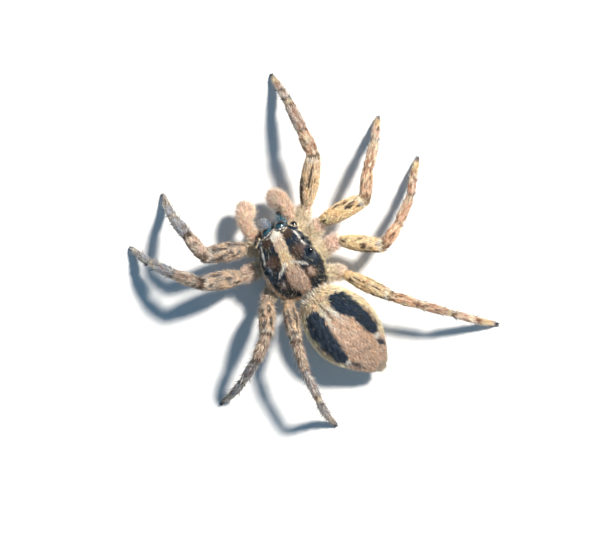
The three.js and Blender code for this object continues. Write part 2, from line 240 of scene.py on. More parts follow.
# %% Depth of the coat, and helpers for meshes
COAT_DEPTH = {
    "carapace": (0.05, 0.05, 0.05), "sternum": (0.03, 0.03, 0.03), "pedicel": (0.0, 0.0, 0.0),
    "abdomen": (0.08, 0.08, 0.08), "spinnerets": (0.02, 0.02, 0.02), "coxa": (0.03, 0.03, 0.03),
    "femur": (0.12, 0.04, 0.06), "patella": (0.08, 0.08, 0.08), "tibia": (0.08, 0.08, 0.09),
    "foot": (0.07, 0.075, 0.09), "arm": (0.05, 0.05, 0.05), "club": (0.08, 0.08, 0.08),
}
FLESH = list(lines)  # every solid but the eyes and the jaws is flesh
FILLED = ("carapace", "abdomen")  # these take their convex hull, which closes the eye sockets


def segment_of(node):
    """The kind of a solid: femur, carapace, club and so on."""
    return node.split("_")[-1]


def as_mesh(shape, name):
    """A bmesh turned into a mesh."""
    mesh = bpy.data.meshes.new(name)
    shape.to_mesh(mesh)
    shape.free()
    return mesh


def with_modifiers(mesh, *modifiers):
    """The mesh after a chain of modifiers, each given as (type, settings)."""
    holder = bpy.data.objects.new("holder", mesh)
    bpy.context.scene.collection.objects.link(holder)
    for kind, settings in modifiers:
        modifier = holder.modifiers.new(kind.lower(), kind)
        for key, value in settings.items():
            setattr(modifier, key, value)
    graph = bpy.context.evaluated_depsgraph_get()
    result = bpy.data.meshes.new_from_object(holder.evaluated_get(graph))
    bpy.data.objects.remove(holder)
    return result


print("pieces of flesh:", len(FLESH))

# %% Round each solid and draw it in
def rounded(node, levels=2):
    """A solid in millimetres, its facets rounded off. Flesh is drawn in by the depth of its hair."""
    shape = bmesh.new()
    if node in FILLED:
        points = [shape.verts.new(p) for p in corners(node)]
        hull = bmesh.ops.convex_hull(shape, input=points)
        left_over = hull["geom_interior"] + hull["geom_unused"]
        loose = {g for g in left_over if isinstance(g, bmesh.types.BMVert)}
        bmesh.ops.delete(shape, geom=list(loose), context="VERTS")
    else:
        shape.from_mesh(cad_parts[node].data)
        bmesh.ops.scale(shape, vec=(1 / MM,) * 3, verts=shape.verts)
        bmesh.ops.remove_doubles(shape, verts=shape.verts, dist=0.002)
    bmesh.ops.join_triangles(
        shape, faces=shape.faces, angle_face_threshold=0.7, angle_shape_threshold=0.9)
    mesh = with_modifiers(as_mesh(shape, node), ("SUBSURF", {"levels": levels}))
    if node in lines:
        points, normals = array_of(mesh.vertices, "co", 3), array_of(mesh.vertices, "normal", 3)
        share = along_line(lines[node], points)[0]
        depth = np.interp(share, [0, 0.5, 1], COAT_DEPTH[segment_of(node)])
        mesh.vertices.foreach_set("co", (points - normals * depth[:, None]).astype(np.float32).ravel())
    return mesh


def ball(shape, centre, radius, detail=3):
    """Adds a ball to a bmesh."""
    place = Matrix.Translation(Vector(centre))
    bmesh.ops.create_icosphere(shape, subdivisions=detail, radius=radius, matrix=place)


flesh = bmesh.new()
for name in FLESH:
    flesh.from_mesh(rounded(name))
print("rounded solids:", len(FLESH), "faces:", len(flesh.faces))

# %% [markdown]
# ## Membranes, chest and eye mounts
# Between two stiff pieces of leg is a ball of soft skin, a little thinner than the leg. More balls
# carry the legs on under the shield, make the waist and fill out the tail. The chest between shield
# and sternum is soft flank, and a filled hull of both stands for it. Each eye sits in a raised mount
# of cuticle, like a stone in its setting: a ball slightly behind the lens and slightly wider gives
# that rim.

# %% Fill the joints, the roots of the legs and the waist
MEMBRANE = 0.97  # a membrane's radius beside that of the leg's end
for centre, a, b in joints:
    near = [p for p in corners(a) if surfaces[b].find_nearest(Vector(p) * MM)[3] < JOINT_GAP * MM]
    out = np.array(near) - centre
    axis = unit(lines[a][-1] - lines[a][-2])
    reach = np.median(np.linalg.norm(out - np.outer(out @ axis, axis), axis=1))
    hidden = (COAT_DEPTH[segment_of(a)][2] + COAT_DEPTH[segment_of(b)][0]) / 2
    ball(flesh, centre, (reach - hidden) * MEMBRANE)

COXA_ROOT = 0.26  # the radius of the coxae where they run on under the shield
for leg in LEGS:
    name = f"{leg}_coxa"
    start, towards = lines[name][0], lines[name][1]
    for step in (-0.25, 0.0, 0.25):
        ball(flesh, start + unit(towards - start) * step, COXA_ROOT)
WAIST = 0.24  # the radius of the waist
for place in (from_head(0, 3.2, 1.25), from_abdomen(0, 0.12, 1.42), from_abdomen(0, 0.3, 1.5)):
    ball(flesh, place, WAIST)
TAIL = ((4.6, 0.5), (4.85, 0.34), (5.0, 0.24))  # balls before the spinnerets: behind the waist, radius
for behind, width in TAIL:
    ball(flesh, from_abdomen(0, behind, 1.27), width)
print("joints filled:", len(joints))

# %% Fill the chest
core = bmesh.new()
flank = [p for p in corners("carapace") if in_head(p)[2] < 1.6]
FLANK_DRAW = np.array([0.82, 0.9, 1.0])  # the soft flank lies inside the shield's edge
for p in flank:
    core.verts.new(from_head(*(np.array([0, 1.4, 0]) + (in_head(p) - [0, 1.4, 0]) * FLANK_DRAW)))
for p in corners("sternum"):
    core.verts.new(from_head(*(in_head(p) + [0, 0, 0.06])))
bmesh.ops.convex_hull(core, input=core.verts)
bmesh.ops.delete(core, geom=[v for v in core.verts if not v.link_faces], context="VERTS")
flesh.from_mesh(as_mesh(core, "core"))
print("with the chest:", len(flesh.faces), "faces")

# %% Set the eyes in mounts and melt the lot
MOUNT_WIDTH = 1.14  # the eye mount's radius, as a share of the eye's radius
MOUNT_BEHIND = 0.34  # how far the mount sits behind the eye, as a share of the same
shield_middle = from_head(0, 1.2, 1.9)
eye_facing = {}
for key, (middle, radius) in eyes.items():
    eye_facing[key] = unit(middle - shield_middle)
    ball(flesh, middle - eye_facing[key] * radius * MOUNT_BEHIND, radius * MOUNT_WIDTH, 4)

VOXEL = 0.044  # mm, fine enough for the thin ends of the feet
remeshed = with_modifiers(
    as_mesh(flesh, "flesh"),
    ("REMESH", {"mode": "VOXEL", "voxel_size": VOXEL, "use_smooth_shade": True}),
    ("SMOOTH", {"factor": 0.5, "iterations": 5}),
)
print("skin vertices:", len(remeshed.vertices))

# %% [markdown]
# ## Reading the skin
# From here on the skin is a list of points. For each point we need the piece of the body that it
# belongs to, how far along that piece it is, how far round it, and which way hair lies there. The
# nearest solid gives the piece, and the piece's centre line gives the rest.

# %% Arrays for the skin
skin_points = array_of(remeshed.vertices, "co", 3).astype(float)
skin_normals = array_of(remeshed.vertices, "normal", 3).astype(float)
skin_triangles = triangles_of(remeshed)

whole = [(name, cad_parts[name].data) for name in FLESH]
offsets = np.cumsum([0] + [len(mesh.vertices) for _, mesh in whole])
all_points = [v.co / MM for _, mesh in whole for v in mesh.vertices]
all_faces = [
    [i + offset for i in p.vertices]
    for (_, mesh), offset in zip(whole, offsets)
    for p in mesh.polygons]
face_owner = [index for index, (_, mesh) in enumerate(whole) for _ in mesh.polygons]
whole_tree = BVHTree.FromPolygons(all_points, all_faces)
skin_part = np.array([face_owner[whole_tree.find_nearest(p)[2]] for p in skin_points])
print("parts on the skin:", len(np.unique(skin_part)))


def around_line(line, points):
    """Share along a centre line, angle round it, the way it runs, and the place in its own axes."""
    share, forward, centre, length = along_line(line, points)
    top = unit(UP - forward * forward[:, 2:])
    out = points - centre
    across = np.sum(out * np.cross(forward, top), axis=1)
    height = np.sum(out * top, axis=1)
    grain = np.stack([share * length, across, height], axis=1)
    return share, np.arctan2(across, height), forward, grain


def read_skin(points, normals, part):
    """What the markings and the hair need to know about points of the skin."""
    reading = {"points": points, "normals": normals, "part": part, "share": np.zeros(len(points))}
    reading["angle"] = np.zeros(len(points))  # 0 on top, growing to the right of the way the piece runs
    reading["lie"] = np.zeros((len(points), 3))
    reading["grain"] = np.zeros((len(points), 3))
    for index, name in enumerate(FLESH):
        here = part == index
        if here.any():
            share, angle, forward, grain = around_line(lines[name], points[here])
            reading["share"][here] = share
            reading["angle"][here] = angle
            reading["lie"][here] = forward
            reading["grain"][here] = grain + [index, 0, 0]
    return reading


skin = read_skin(skin_points, skin_normals, skin_part)
print("shares run from", skin["share"].min().round(2), "to", skin["share"].max().round(2))

# %% [markdown]
# ## Paint for the markings
# Colour on a jumping spider is in its hair: each hair is pale, tan, brown or nearly black, and the
# skin below has a darker shade of the same. Both read their colour from one function of the place on
# the body. So the coat and the skin carry the same markings. Edges are softened and made ragged with
# a smooth random field, because hairs of two colours mix there.

# %% Palette and brushes
def linear(hex_colour):
    """An sRGB hex colour as linear RGB."""
    srgb = np.array([int(hex_colour[i:i + 2], 16) for i in (1, 3, 5)]) / 255
    return np.where(srgb <= 0.04045, srgb / 12.92, ((srgb + 0.055) / 1.055) ** 2.4)


PALETTE = {
    "night": "#24374d",  # the blue-black of the black fields
    "soot": "#25262b",  # spines, claws and the dark lashes
    "moss": "#222d2e",  # black hair with a green cast
    "umber": "#55402f",  # dark brown flecks
    "chestnut": "#8a5a40",  # red-brown rings, and single brown hairs
    "bark": "#3d2d28",  # brown-black marks and edges
    "mauve": "#7d655f",  # grey-brown hair in the black
    "russet": "#b98463",  # rusty specks
    "cream": "#fbeccb",  # flanks and pale rings
    "ivory": "#fffaf0",  # the whitest hair
    "straw": "#f8dfa4",  # yellowish clouds
    "honey": "#ffdaa6",  # thighs
    "tan": "#f8cba2",  # knees, and clouds on the back
    "fawn": "#dcb494",  # shins, and clouds on the abdomen
    "rose": "#edcab2",  # feet, and a rose flush of painted shade on the greyed thighs
    "blush": "#f6d3bf",  # the pink-brown middle of the back
    "petal": "#ffdac8",  # hips and palps
    "ash": "#b4c4d6",  # painted shade: blue-grey laid over the legs that lie away from the sun
    "stone": "#c2baa6",  # under the abdomen
    "slate": "#5c6b7c",  # grey hair in the abdomen's black
    "claw": "#344863",  # the pads under the toes
    "smoke": "#8d8b89",  # grey: painted shade on the legs and on the shield's left, and the dark stripe under the abdomen
}
PAINT = {name: linear(colour) for name, colour in PALETTE.items()}
BLACK = 0.07  # hairs darker than this are the black ones


def mottle(points, size, seed):
    """A smooth random field over points, about -1 to 1, whose blotches are about size across."""
    pick = np.random.default_rng(seed)
    waves = unit(pick.normal(size=(20, 3))) * pick.uniform(0.7, 1.4, (20, 1)) * math.pi / size
    return np.sin(points @ waves.T + pick.uniform(0, 2 * math.pi, 20)).sum(axis=1) / 4.5


def over(value, edge, soft=0.03):
    """0 where value is below the edge, 1 where it is above, with a soft step between."""
    t = np.clip((value - edge) / (2 * soft) + 0.5, 0, 1)
    return t * t * (3 - 2 * t)


def within(value, low, high, soft=0.03):
    """1 between two edges and 0 outside them."""
    return over(value, low, soft) * (1 - over(value, high, soft))


def spot(x, y, centre, radii, soft=0.25):
    """1 inside an ellipse; soft is a share of its radius."""
    reach = np.hypot((x - centre[0]) / radii[0], (y - centre[1]) / radii[1])
    return 1 - over(reach, 1, soft)


def brush(colours, paint, mask):
    """Lays one paint over the colours where the mask is 1."""
    colours += (PAINT[paint] - colours) * np.clip(mask, 0, 1)[:, None]


print("paints:", len(PAINT))

# %% [markdown]
# ## The shield's markings
# A pale band runs from the face to the waist between two black fields, and widens over the thorax. A
# pale line crosses the black at a slant, and a thin white line runs beside the eyes. Cream flanks
# frame it all. The pattern is nearly a mirror pair, so it is drawn with the distance from the middle
# line, and only its edges and a few spots differ between the sides.

# %% Where the shield's black fields and its band run
SHIELD_EDGE = {  # how far from the middle line the black runs, at places behind the face
    "behind": [-0.5, -0.2, 0.14, 0.54, 0.95, 1.5, 2.05, 2.6, 3.0, 3.15],
    "right": [0.7, 0.95, 1.06, 1.26, 1.38, 1.42, 1.5, 1.33, 1.05, 0.3],
    "left": [0.7, 0.92, 1.02, 1.2, 1.31, 1.3, 1.32, 1.2, 1.0, 0.3],
}
SHIELD_BAND = {  # half the width of the pale band
    "behind": [-0.3, -0.2, 0.1, 0.65, 0.85, 1.15, 1.4, 1.6, 1.84, 2.2, 2.6, 2.94, 3.16],
    "half": [0.2, 0.25, 0.28, 0.3, 0.25, 0.29, 0.38, 0.36, 0.44, 0.53, 0.5, 0.3, 0.2],
}
SHIELD_MARGIN = {  # how low the black comes, at places behind the face
    "behind": [1.8, 2.6, 3.1], "up": [1.45, 1.4, 1.3],
}
SHIELD_CROSS = {  # the pale line that crosses the black
    "side": [0.1, 0.3, 0.54, 0.8], "behind": [1.38, 1.49, 1.67, 1.86],
}
SHIELD_LINE = {  # the white line beside the eyes
    "behind": [-0.45, -0.1, 0.3, 0.65, 1.0], "side": [0.72, 0.88, 0.94, 1.01, 1.1],
}


def shield_map(points):
    """Where points lie in the shield's pattern."""
    left, behind, up = in_head(points).T
    at = {"left": left, "behind": behind, "up": up, "side": np.abs(left), "on_right": left < 0}
    at["rough"] = mottle(points, 0.14, 3) * 0.03 + mottle(points, 0.05, 4) * 0.03
    edges = [np.interp(behind, SHIELD_EDGE["behind"], SHIELD_EDGE[key]) for key in ("left", "right")]
    edge = np.where(at["on_right"], edges[1], edges[0])
    at["band"] = np.interp(behind, SHIELD_BAND["behind"], SHIELD_BAND["half"])
    at["above"] = over(up, np.interp(behind, SHIELD_MARGIN["behind"], SHIELD_MARGIN["up"]), 0.06)
    inside = over(edge + at["rough"], at["side"]) * over(at["side"] + at["rough"], at["band"])
    at["dark"] = inside * at["above"]
    return at


print("widest black field:", max(SHIELD_EDGE["right"]), "mm from the middle line")

# %% [markdown]
# ## Ground and black fields of the shield
# The flanks are cream with straw and rose. Fawn and extra rose on the left flank are painted shade,
# since that side faces away from the sun, and straw on the right flank is painted sunlight. The black
# isn't plain black: it has a blue or green cast, and in it lie brown patches, a pale lobe with a
# chestnut ring on the right, and small pale flecks. On the left the lobe is faint, with a grey of
# painted shade in its place.

# %% Paint the shield's ground and its black fields
def shield_ground(points, at):
    """The cream flanks, with painted shade on the left flank and painted light on the right."""
    behind, up, rough = at["behind"], at["up"], at["rough"]
    colours = np.tile(PAINT["cream"], (len(points), 1))
    brush(colours, "straw", over(mottle(points, 0.3, 5), 0.2, 0.5) * 0.5)
    brush(colours, "chestnut", over(mottle(points, 0.12, 2), 1.5, 0.15) * 0.4)
    # painted shade: the low flank's rose is three times as strong on the left, and the left flank turns
    # fawn, where the side faces away from the sun; the weaker rose on the right is the flank's own pink
    brush(colours, "rose", over(1.32 + rough, up, 0.1) * np.where(at["on_right"], 0.3, 1.0))
    brush(colours, "fawn", over(at["left"], 1.0, 0.2) * 0.7)
    # painted light: straw tints the sunlit right flank
    brush(colours, "straw", over(-at["left"], 1.2, 0.2) * 0.5)
    brush(colours, "fawn", over(behind, 3.0 + rough, 0.1) * 0.8)
    return colours


def shield_black(colours, points, at):
    """The black fields and what lies in them."""
    behind, side, dark, on_right = at["behind"], at["side"], at["dark"], at["on_right"]
    ragged = side + at["rough"]
    brush(colours, "night", dark)
    brush(colours, "moss", dark * over(mottle(points, 0.22, 9), 0.1, 0.4) * 0.7)
    brush(colours, "umber", dark * spot(ragged, behind, (0.55, 0.08), (0.3, 0.24), 0.35) * 0.8)
    brush(colours, "mauve", dark * spot(ragged, behind, (0.74, 1.06), (0.3, 0.3), 0.35) * 0.85)
    brush(colours, "umber", dark * spot(ragged, behind, (0.52, 1.12), (0.22, 0.42), 0.4) * 0.75)
    brush(colours, "bark", dark * spot(ragged, behind, (0.62, 1.4), (0.22, 0.17), 0.3) * 0.95)
    lobe = spot(ragged, behind, (0.78, 2.3), (0.17, 0.2), 0.3)
    ring = spot(ragged, behind, (0.74, 2.3), (0.27, 0.32), 0.25)
    # painted shade: on the left, away from the sun, the lobe and its ring are painted faint and a grey
    # spot lies over them
    brush(colours, "chestnut", dark * ring * np.where(on_right, 0.75, 0.2))
    brush(colours, "blush", dark * lobe * np.where(on_right, 0.9, 0.25))
    brush(colours, "smoke", dark * spot(at["left"], behind, (0.69, 2.22), (0.1, 0.12), 0.4) * 0.8)
    fleck = over(mottle(points, 0.05, 6), 0.95, 0.1)
    flecked = 0.35 + 0.55 * within(behind, 2.5, 3.05, 0.1)  # more of them towards the hind margin
    brush(colours, "cream", dark * fleck * flecked * over(side, 0.45))


print("brushes for the ground and the black fields are ready")

# %% [markdown]
# ## Band, lines and eye rims of the shield
# The band is whitest over the face and turns pink-brown over the thorax, with rusty specks. Dark
# edges set it off there. The lines come last, so that they lie over the black, and then the dark rims
# round the eyes.

# %% Paint the shield's band, its lines and the rims of the eyes
def shield_band(colours, points, at):
    """The pale band down the middle."""
    behind, side, rough, band, above = at["behind"], at["side"], at["rough"], at["band"], at["above"]
    middle = over(band, side + rough) * above
    brush(colours, "tan", middle * over(behind, 0.9, 0.5) * 0.45)
    brush(colours, "blush", middle * over(behind, 1.75, 0.15) * 0.8)
    brush(colours, "blush", middle * over(0.75, behind, 0.3) * 0.6)
    specks = mottle(points * [1, 1, 0], 0.06, 7)
    brush(colours, "russet", middle * over(specks, 0.7, 0.25) * 0.7)
    rim = over(0.1, np.abs(side + rough - band - 0.02), 0.04) * within(behind, 1.8, 2.9, 0.1)
    brush(colours, "bark", above * rim * 0.75)


def shield_lines(colours, at):
    """The pale line across the black, the white line beside the eyes and the white of the brow."""
    behind, side, above = at["behind"], at["side"], at["above"]
    slant = behind - np.interp(side, SHIELD_CROSS["side"], SHIELD_CROSS["behind"])
    cross = within(side, 0.12, 0.78, 0.05) * within(slant + at["rough"] * 0.5, -0.08, 0.08, 0.03)
    brush(colours, "ivory", above * cross * 0.9)
    brush(colours, "night", above * spot(side, behind, (0.26, 1.64), (0.07, 0.06), 0.4) * 0.9)
    brush(colours, "night", above * spot(side, behind, (0.55, 1.85), (0.07, 0.08), 0.4) * 0.9)

    line = np.interp(behind, SHIELD_LINE["behind"], SHIELD_LINE["side"])
    gap = np.where(
        at["on_right"], within(behind, 0.62, 0.72, 0.03), within(behind, -0.1, 0.1, 0.05))
    beside = within(side - line, -0.045, 0.045, 0.02) * within(behind, -0.5, 1.0)
    brush(colours, "ivory", beside * (1 - gap))
    middle = over(at["band"], side + at["rough"]) * above
    brush(colours, "ivory", middle * over(0.15, behind, 0.2) * 0.8)
    arc = within(side, 0.15, 0.66, 0.05) * within(behind + 0.25 * (side - 0.4), -0.44, -0.3, 0.04)
    brush(colours, "bark", arc * 0.8)


def eye_rims(colours, points):
    """Dark skin round each eye, with a broken pale ring."""
    for (kind, _), (middle_point, radius) in eyes.items():
        distance = np.linalg.norm(points - middle_point, axis=1) / radius
        if kind == "anterior_median":
            brush(colours, "night", over(1.28, distance, 0.06))
            broken = over(mottle(points, 0.1, 8), -0.2, 0.4)
            brush(colours, "cream", within(distance, 1.3, 1.42, 0.05) * broken)
        else:
            brush(colours, "night", over(1.55, distance, 0.15))
            broken = over(mottle(points, 0.07, 62), 0.2, 0.3)
            brush(colours, "stone", within(distance, 1.3, 1.5, 0.06) * broken * 0.8)


def shield_paint(reading):
    """The hair colours of head and chest."""
    points = reading["points"]
    at = shield_map(points)
    colours = shield_ground(points, at)
    shield_black(colours, points, at)
    shield_band(colours, points, at)
    shield_lines(colours, at)
    eye_rims(colours, points)
    brush(colours, "cream", over(1.78, at["up"], 0.08) * over(0.0, at["behind"], 0.2))  # the face
    return colours


print("shield paint ready, with", len(eyes), "eye rims")

# %% [markdown]
# ## The abdomen's markings
# Two long black patches lie on either side of a pale band, with a brown streak over the heart in
# front and white beside it. Behind the patches are smaller dark spots. The flanks are cream, and the
# underside fades to stone grey with a dark stripe.

# %% Where the abdomen's patches and spots lie
ABDOMEN_PATCH = {  # the inner and outer edges of the black patches, at places behind the waist
    "inner_behind": [0.6, 0.8, 1.08, 1.5, 1.8, 2.2, 2.6, 3.05, 3.42, 3.55],
    "inner_left": [0.42, 0.34, 0.33, 0.38, 0.47, 0.55, 0.62, 0.71, 0.78, 0.9],
    "inner_right": [0.42, 0.34, 0.33, 0.38, 0.5, 0.76, 0.78, 0.74, 0.84, 0.95],
    "outer_behind": [0.58, 0.66, 0.95, 1.4, 1.9, 2.4, 3.0, 3.3, 3.51, 3.6],
    "outer": [0.62, 0.86, 1.16, 1.31, 1.37, 1.4, 1.37, 1.34, 1.18, 0.95],
}
ABDOMEN_SPOTS = [  # the middle (to the left, behind), the half width and half length, and the strength
    ((-0.9, 4.05), (0.15, 0.24), 0.95),
    ((-0.64, 4.42), (0.07, 0.09), 0.6),
    ((0.84, 3.92), (0.11, 0.18), 0.8),
    ((0.74, 4.14), (0.1, 0.16), 0.7),
    ((0.62, 4.42), (0.08, 0.12), 0.5),
]


def abdomen_map(points):
    """Where points lie in the abdomen's pattern."""
    left, behind, up = in_abdomen(points).T
    at = {"left": left, "behind": behind, "up": up, "side": np.abs(left)}
    at["rough"] = mottle(points, 0.16, 11) * 0.035 + mottle(points, 0.06, 12) * 0.035
    at["upper"] = over(up, 1.4, 0.2)
    inner = [
        np.interp(behind, ABDOMEN_PATCH["inner_behind"], ABDOMEN_PATCH[f"inner_{key}"])
        for key in ("left", "right")]
    at["inner"] = np.where(left < 0, inner[1], inner[0])
    at["outer"] = np.interp(behind, ABDOMEN_PATCH["outer_behind"], ABDOMEN_PATCH["outer"])
    return at


print("spots behind the patches:", len(ABDOMEN_SPOTS))

# %% Paint the abdomen's band and its front
def abdomen_band(colours, points, at):
    """The pale band, pinker behind, with the heart streak in front."""
    behind, side, rough, upper = at["behind"], at["side"], at["rough"], at["upper"]
    edge = at["inner"] + 0.25 * over(behind, 3.5, 0.15)
    middle = over(edge, side + rough) * over(behind, 0.35, 0.1)
    rear = over(behind, 3.5, 0.2) * over(1.2 - 0.35 * (behind - 3.5), side, 0.1)
    middle = np.maximum(middle, rear)
    brush(colours, "blush", middle * upper * over(behind, 1.3, 0.6) * 0.8)
    brush(colours, "tan", middle * upper * over(mottle(points, 0.4, 14), 0.3, 0.4) * 0.6)
    clouds = over(mottle(points * [1, 1, 0], 0.16, 10), 0.5, 0.3)
    brush(colours, "fawn", middle * upper * clouds * 0.6)
    brush(colours, "fawn", upper * over(behind, 3.0, 0.6) * over(1.15, side, 0.2) * 0.5)
    clouds = over(mottle(points, 0.3, 18), 0.4, 0.4)
    brush(colours, "mauve", upper * over(behind, 3.4, 0.8) * clouds * 0.25)


def abdomen_front(colours, points, at):
    """The streak over the heart, the white beside it, and the speckled front."""
    behind, side, rough, upper = at["behind"], at["side"], at["rough"], at["upper"]
    beside = spot(side - 0.2 * (behind - 1.3), behind, (0.2, 1.35), (0.08, 0.6), 0.5)
    brush(colours, "ivory", upper * beside * 0.9)
    streak = over(0.055, side + rough * 0.5, 0.03) * within(behind, 0.6, 1.6, 0.1)
    brush(colours, "umber", upper * streak * 0.8)
    speckle = mottle(points, 0.05, 16)
    front = over(0.62, behind + rough, 0.12) * over(0.9, side, 0.1) * upper
    brush(colours, "fawn", front * over(speckle, 0.1, 0.2) * 0.7)
    brush(colours, "bark", front * over(speckle, 0.7, 0.15) * 0.8)


print("brushes for the abdomen's band are ready")

# %% Paint the abdomen's patches, its spots and its underside
def abdomen_black(colours, points, at):
    """The black patches, greyer on the left, with brown edges and a white mark behind each."""
    behind, side, rough, upper = at["behind"], at["side"], at["rough"], at["upper"]
    inner, outer = at["inner"], at["outer"]
    black = over(side + rough, inner) * over(outer, side + rough) * within(behind + rough, 0.6, 3.56)
    brush(colours, "night", black * upper)
    brush(colours, "moss", black * upper * over(mottle(points, 0.2, 17), 0.2, 0.4) * 0.6)
    brush(colours, "slate", black * upper * over(mottle(points, 0.055, 15), 0.9, 0.4) * 0.55)
    greyed = over(at["left"], 0) * over(mottle(points, 0.08, 61), 0.1, 0.5)
    brush(colours, "slate", black * upper * greyed * 0.7)
    brush(colours, "stone", black * upper * over(mottle(points, 0.05, 19), 1.75, 0.1) * 0.8)
    outside = within(side - outer + rough, 0.0, 0.12) * within(behind, 2.1, 3.2, 0.2)
    brush(colours, "chestnut", upper * outside * 0.7)
    inside = within(inner - side - rough, 0.0, 0.05) * within(behind, 1.8, 3.4, 0.2)
    brush(colours, "bark", upper * inside * 0.5)
    brush(colours, "ivory", upper * spot(side + rough, behind, (1.0, 3.66), (0.14, 0.12), 0.3))
    for centre, radii, strength in ABDOMEN_SPOTS:
        brush(colours, "night", upper * spot(at["left"], behind + rough, centre, radii) * strength)


def abdomen_paint(reading):
    """The hair colours of the abdomen."""
    points = reading["points"]
    at = abdomen_map(points)
    colours = np.tile(PAINT["cream"], (len(points), 1))
    brush(colours, "straw", over(mottle(points, 0.35, 13), 0.1, 0.5) * 0.5)
    abdomen_band(colours, points, at)
    abdomen_front(colours, points, at)
    abdomen_black(colours, points, at)
    brush(colours, "stone", over(at["behind"], 4.85, 0.25) * 0.7)
    below = over(1.15 + at["rough"] * 2, at["up"], 0.35)
    brush(colours, "stone", below * 0.75)
    stripe = over(0.42 + at["rough"], at["side"], 0.12) * within(at["behind"], 0.8, 4.6, 0.3)
    brush(colours, "smoke", below * stripe * 0.7)
    return colours


print("abdomen paint ready")

# %% [markdown]
# ## The legs' and palps' markings
# Legs are honey and peach. Each thigh has dark marks of its own, and there is a dark edge at each
# joint. Brown flecks lie between, most of them on the left legs. The coxae and palps are pink, and
# each foot ends in a slate-grey pad. A mark on a thigh is an ellipse on the unrolled leg: how far
# along, what angle round from the top, and its half length and half width in the same measures.

# %% Where the thighs' marks lie
THIGH_MARKS = {
    "right_leg_1": [
        (0.28, -1.02, 0.4, 0.36), (0.62, 0.0, 0.2, 0.16),
        (0.42, 0.25, 0.2, 0.1), (0.05, 0.2, 0.05, 0.5)],
    "right_leg_2": [
        (0.72, -0.2, 0.1, 0.3), (0.6, -0.9, 0.14, 0.2),
        (0.87, 0.5, 0.09, 0.25), (0.14, 0.2, 0.05, 0.35)],
    "right_leg_3": [
        (0.7, 1.2, 0.28, 0.25), (0.6, 0.3, 0.05, 0.5),
        (0.9, 0.0, 0.06, 0.5), (0.08, -0.1, 0.06, 0.5)],
    "right_leg_4": [
        (0.55, -0.15, 0.34, 0.12), (0.72, -1.1, 0.26, 0.16),
        (0.35, 0.5, 0.2, 0.1), (0.8, 1.2, 0.2, 0.25)],
    "left_leg_1": [
        (0.32, 0.85, 0.36, 0.32), (0.72, 0.5, 0.22, 0.22),
        (0.52, -0.4, 0.2, 0.36), (0.8, -0.8, 0.14, 0.35)],
    "left_leg_2": [
        (0.5, 0.0, 0.08, 0.35), (0.72, 0.7, 0.14, 0.16),
        (0.25, -0.6, 0.1, 0.25), (0.85, -0.4, 0.06, 0.3)],
    "left_leg_3": [
        (0.42, -0.3, 0.14, 0.3), (0.5, 0.7, 0.16, 0.28),
        (0.72, -0.6, 0.14, 0.26), (0.82, 0.3, 0.1, 0.36)],
    "left_leg_4": [
        (0.5, -0.7, 0.26, 0.26), (0.56, 0.3, 0.16, 0.26),
        (0.88, 0.0, 0.07, 0.6), (0.5, 1.1, 0.26, 0.26)],
}
print("marks on the thighs:", sum(len(marks) for marks in THIGH_MARKS.values()))

# %% [markdown]
# The same brushes serve all eight legs, and two numbers for each leg make them differ: how mottled it
# is with brown, and how much painted shade, an ash grey, lies over its tan. The left legs are mottled
# most. They face away from the sun, and so they carry the most painted shade.

# %% Paint the legs
MOTTLING = {
    "right_leg_1": 0.4, "right_leg_2": 0.3, "right_leg_3": 0.35, "right_leg_4": 0.3,
    "left_leg_1": 0.75, "left_leg_2": 0.65, "left_leg_3": 0.95, "left_leg_4": 0.95,
}
# painted shade: how much grey lies over each leg, most on the left legs, which face away from the sun
SHADE_GREYING = {
    "right_leg_1": 0.25, "right_leg_2": 0.03, "right_leg_3": 0.03, "right_leg_4": 0.05,
    "left_leg_1": 0.7, "left_leg_2": 0.7, "left_leg_3": 0.6, "left_leg_4": 0.55,
}
SEGMENT_PAINT = {
    "coxa": "petal", "femur": "honey", "patella": "tan", "tibia": "fawn", "foot": "rose",
}
SEGMENT_SHADE = {"patella": 0.5, "tibia": 1.3, "foot": 1.4}  # how strongly the painted shade shows on each piece below the knee


def leg_map(reading, leg):
    """The random fields that all pieces of a leg share."""
    longer = 0.4 + 0.3 * (MOTTLING[leg] > 0.8)  # blotches are longer than wide
    at = {"share": reading["share"], "turn": reading["angle"], "points": reading["points"]}
    at["side"] = np.abs(reading["angle"])
    at["grain"] = reading["grain"] * [longer, 1, 1]
    at["flecks"] = mottle(at["grain"], 0.13, 22) + 0.6 * mottle(at["grain"], 0.06, 23)
    at["streaks"] = mottle(reading["grain"] * [0.22, 1, 1], 0.09, 25)
    return at


def thigh_paint(colours, at, leg):
    """Streaks, the leg's own marks, flecks, a pale ring before the knee, and painted shade."""
    share, side, grain, flecks = at["share"], at["side"], at["grain"], at["flecks"]
    amount, grey = MOTTLING[leg], SHADE_GREYING[leg]
    brush(colours, "straw", over(mottle(grain, 0.2, 27), 0.3, 0.3) * 0.5)
    # painted shade: a rose flush, and later a smoke grey, darken the thighs of the shaded legs
    brush(colours, "rose", np.full(len(share), 0.9 * grey))
    brush(colours, "russet", over(at["streaks"], 0.7, 0.3) * over(share, 0.45, 0.3) * 0.5)
    broken = over(mottle(grain, 0.09, 28), -1.0, 0.3)
    for centre, turn, long, wide in THIGH_MARKS[leg]:
        reach = np.hypot((share - centre) / long, (at["turn"] - turn) / wide) - 0.3 * flecks
        brush(colours, "bark", over(0.9, reach, 0.15) * broken * 0.95)
    brush(colours, "umber", over(flecks, 1.5 - 0.8 * amount * over(share, 0.4, 0.3), 0.15) * 0.8)
    brush(colours, "ivory", within(share, 0.88, 0.95, 0.03) * over(1.3, side, 0.3) * 0.6)
    brush(colours, "smoke", (0.35 + 0.55 * over(mottle(at["points"], 0.3, 24), 0.0, 0.5)) * grey)


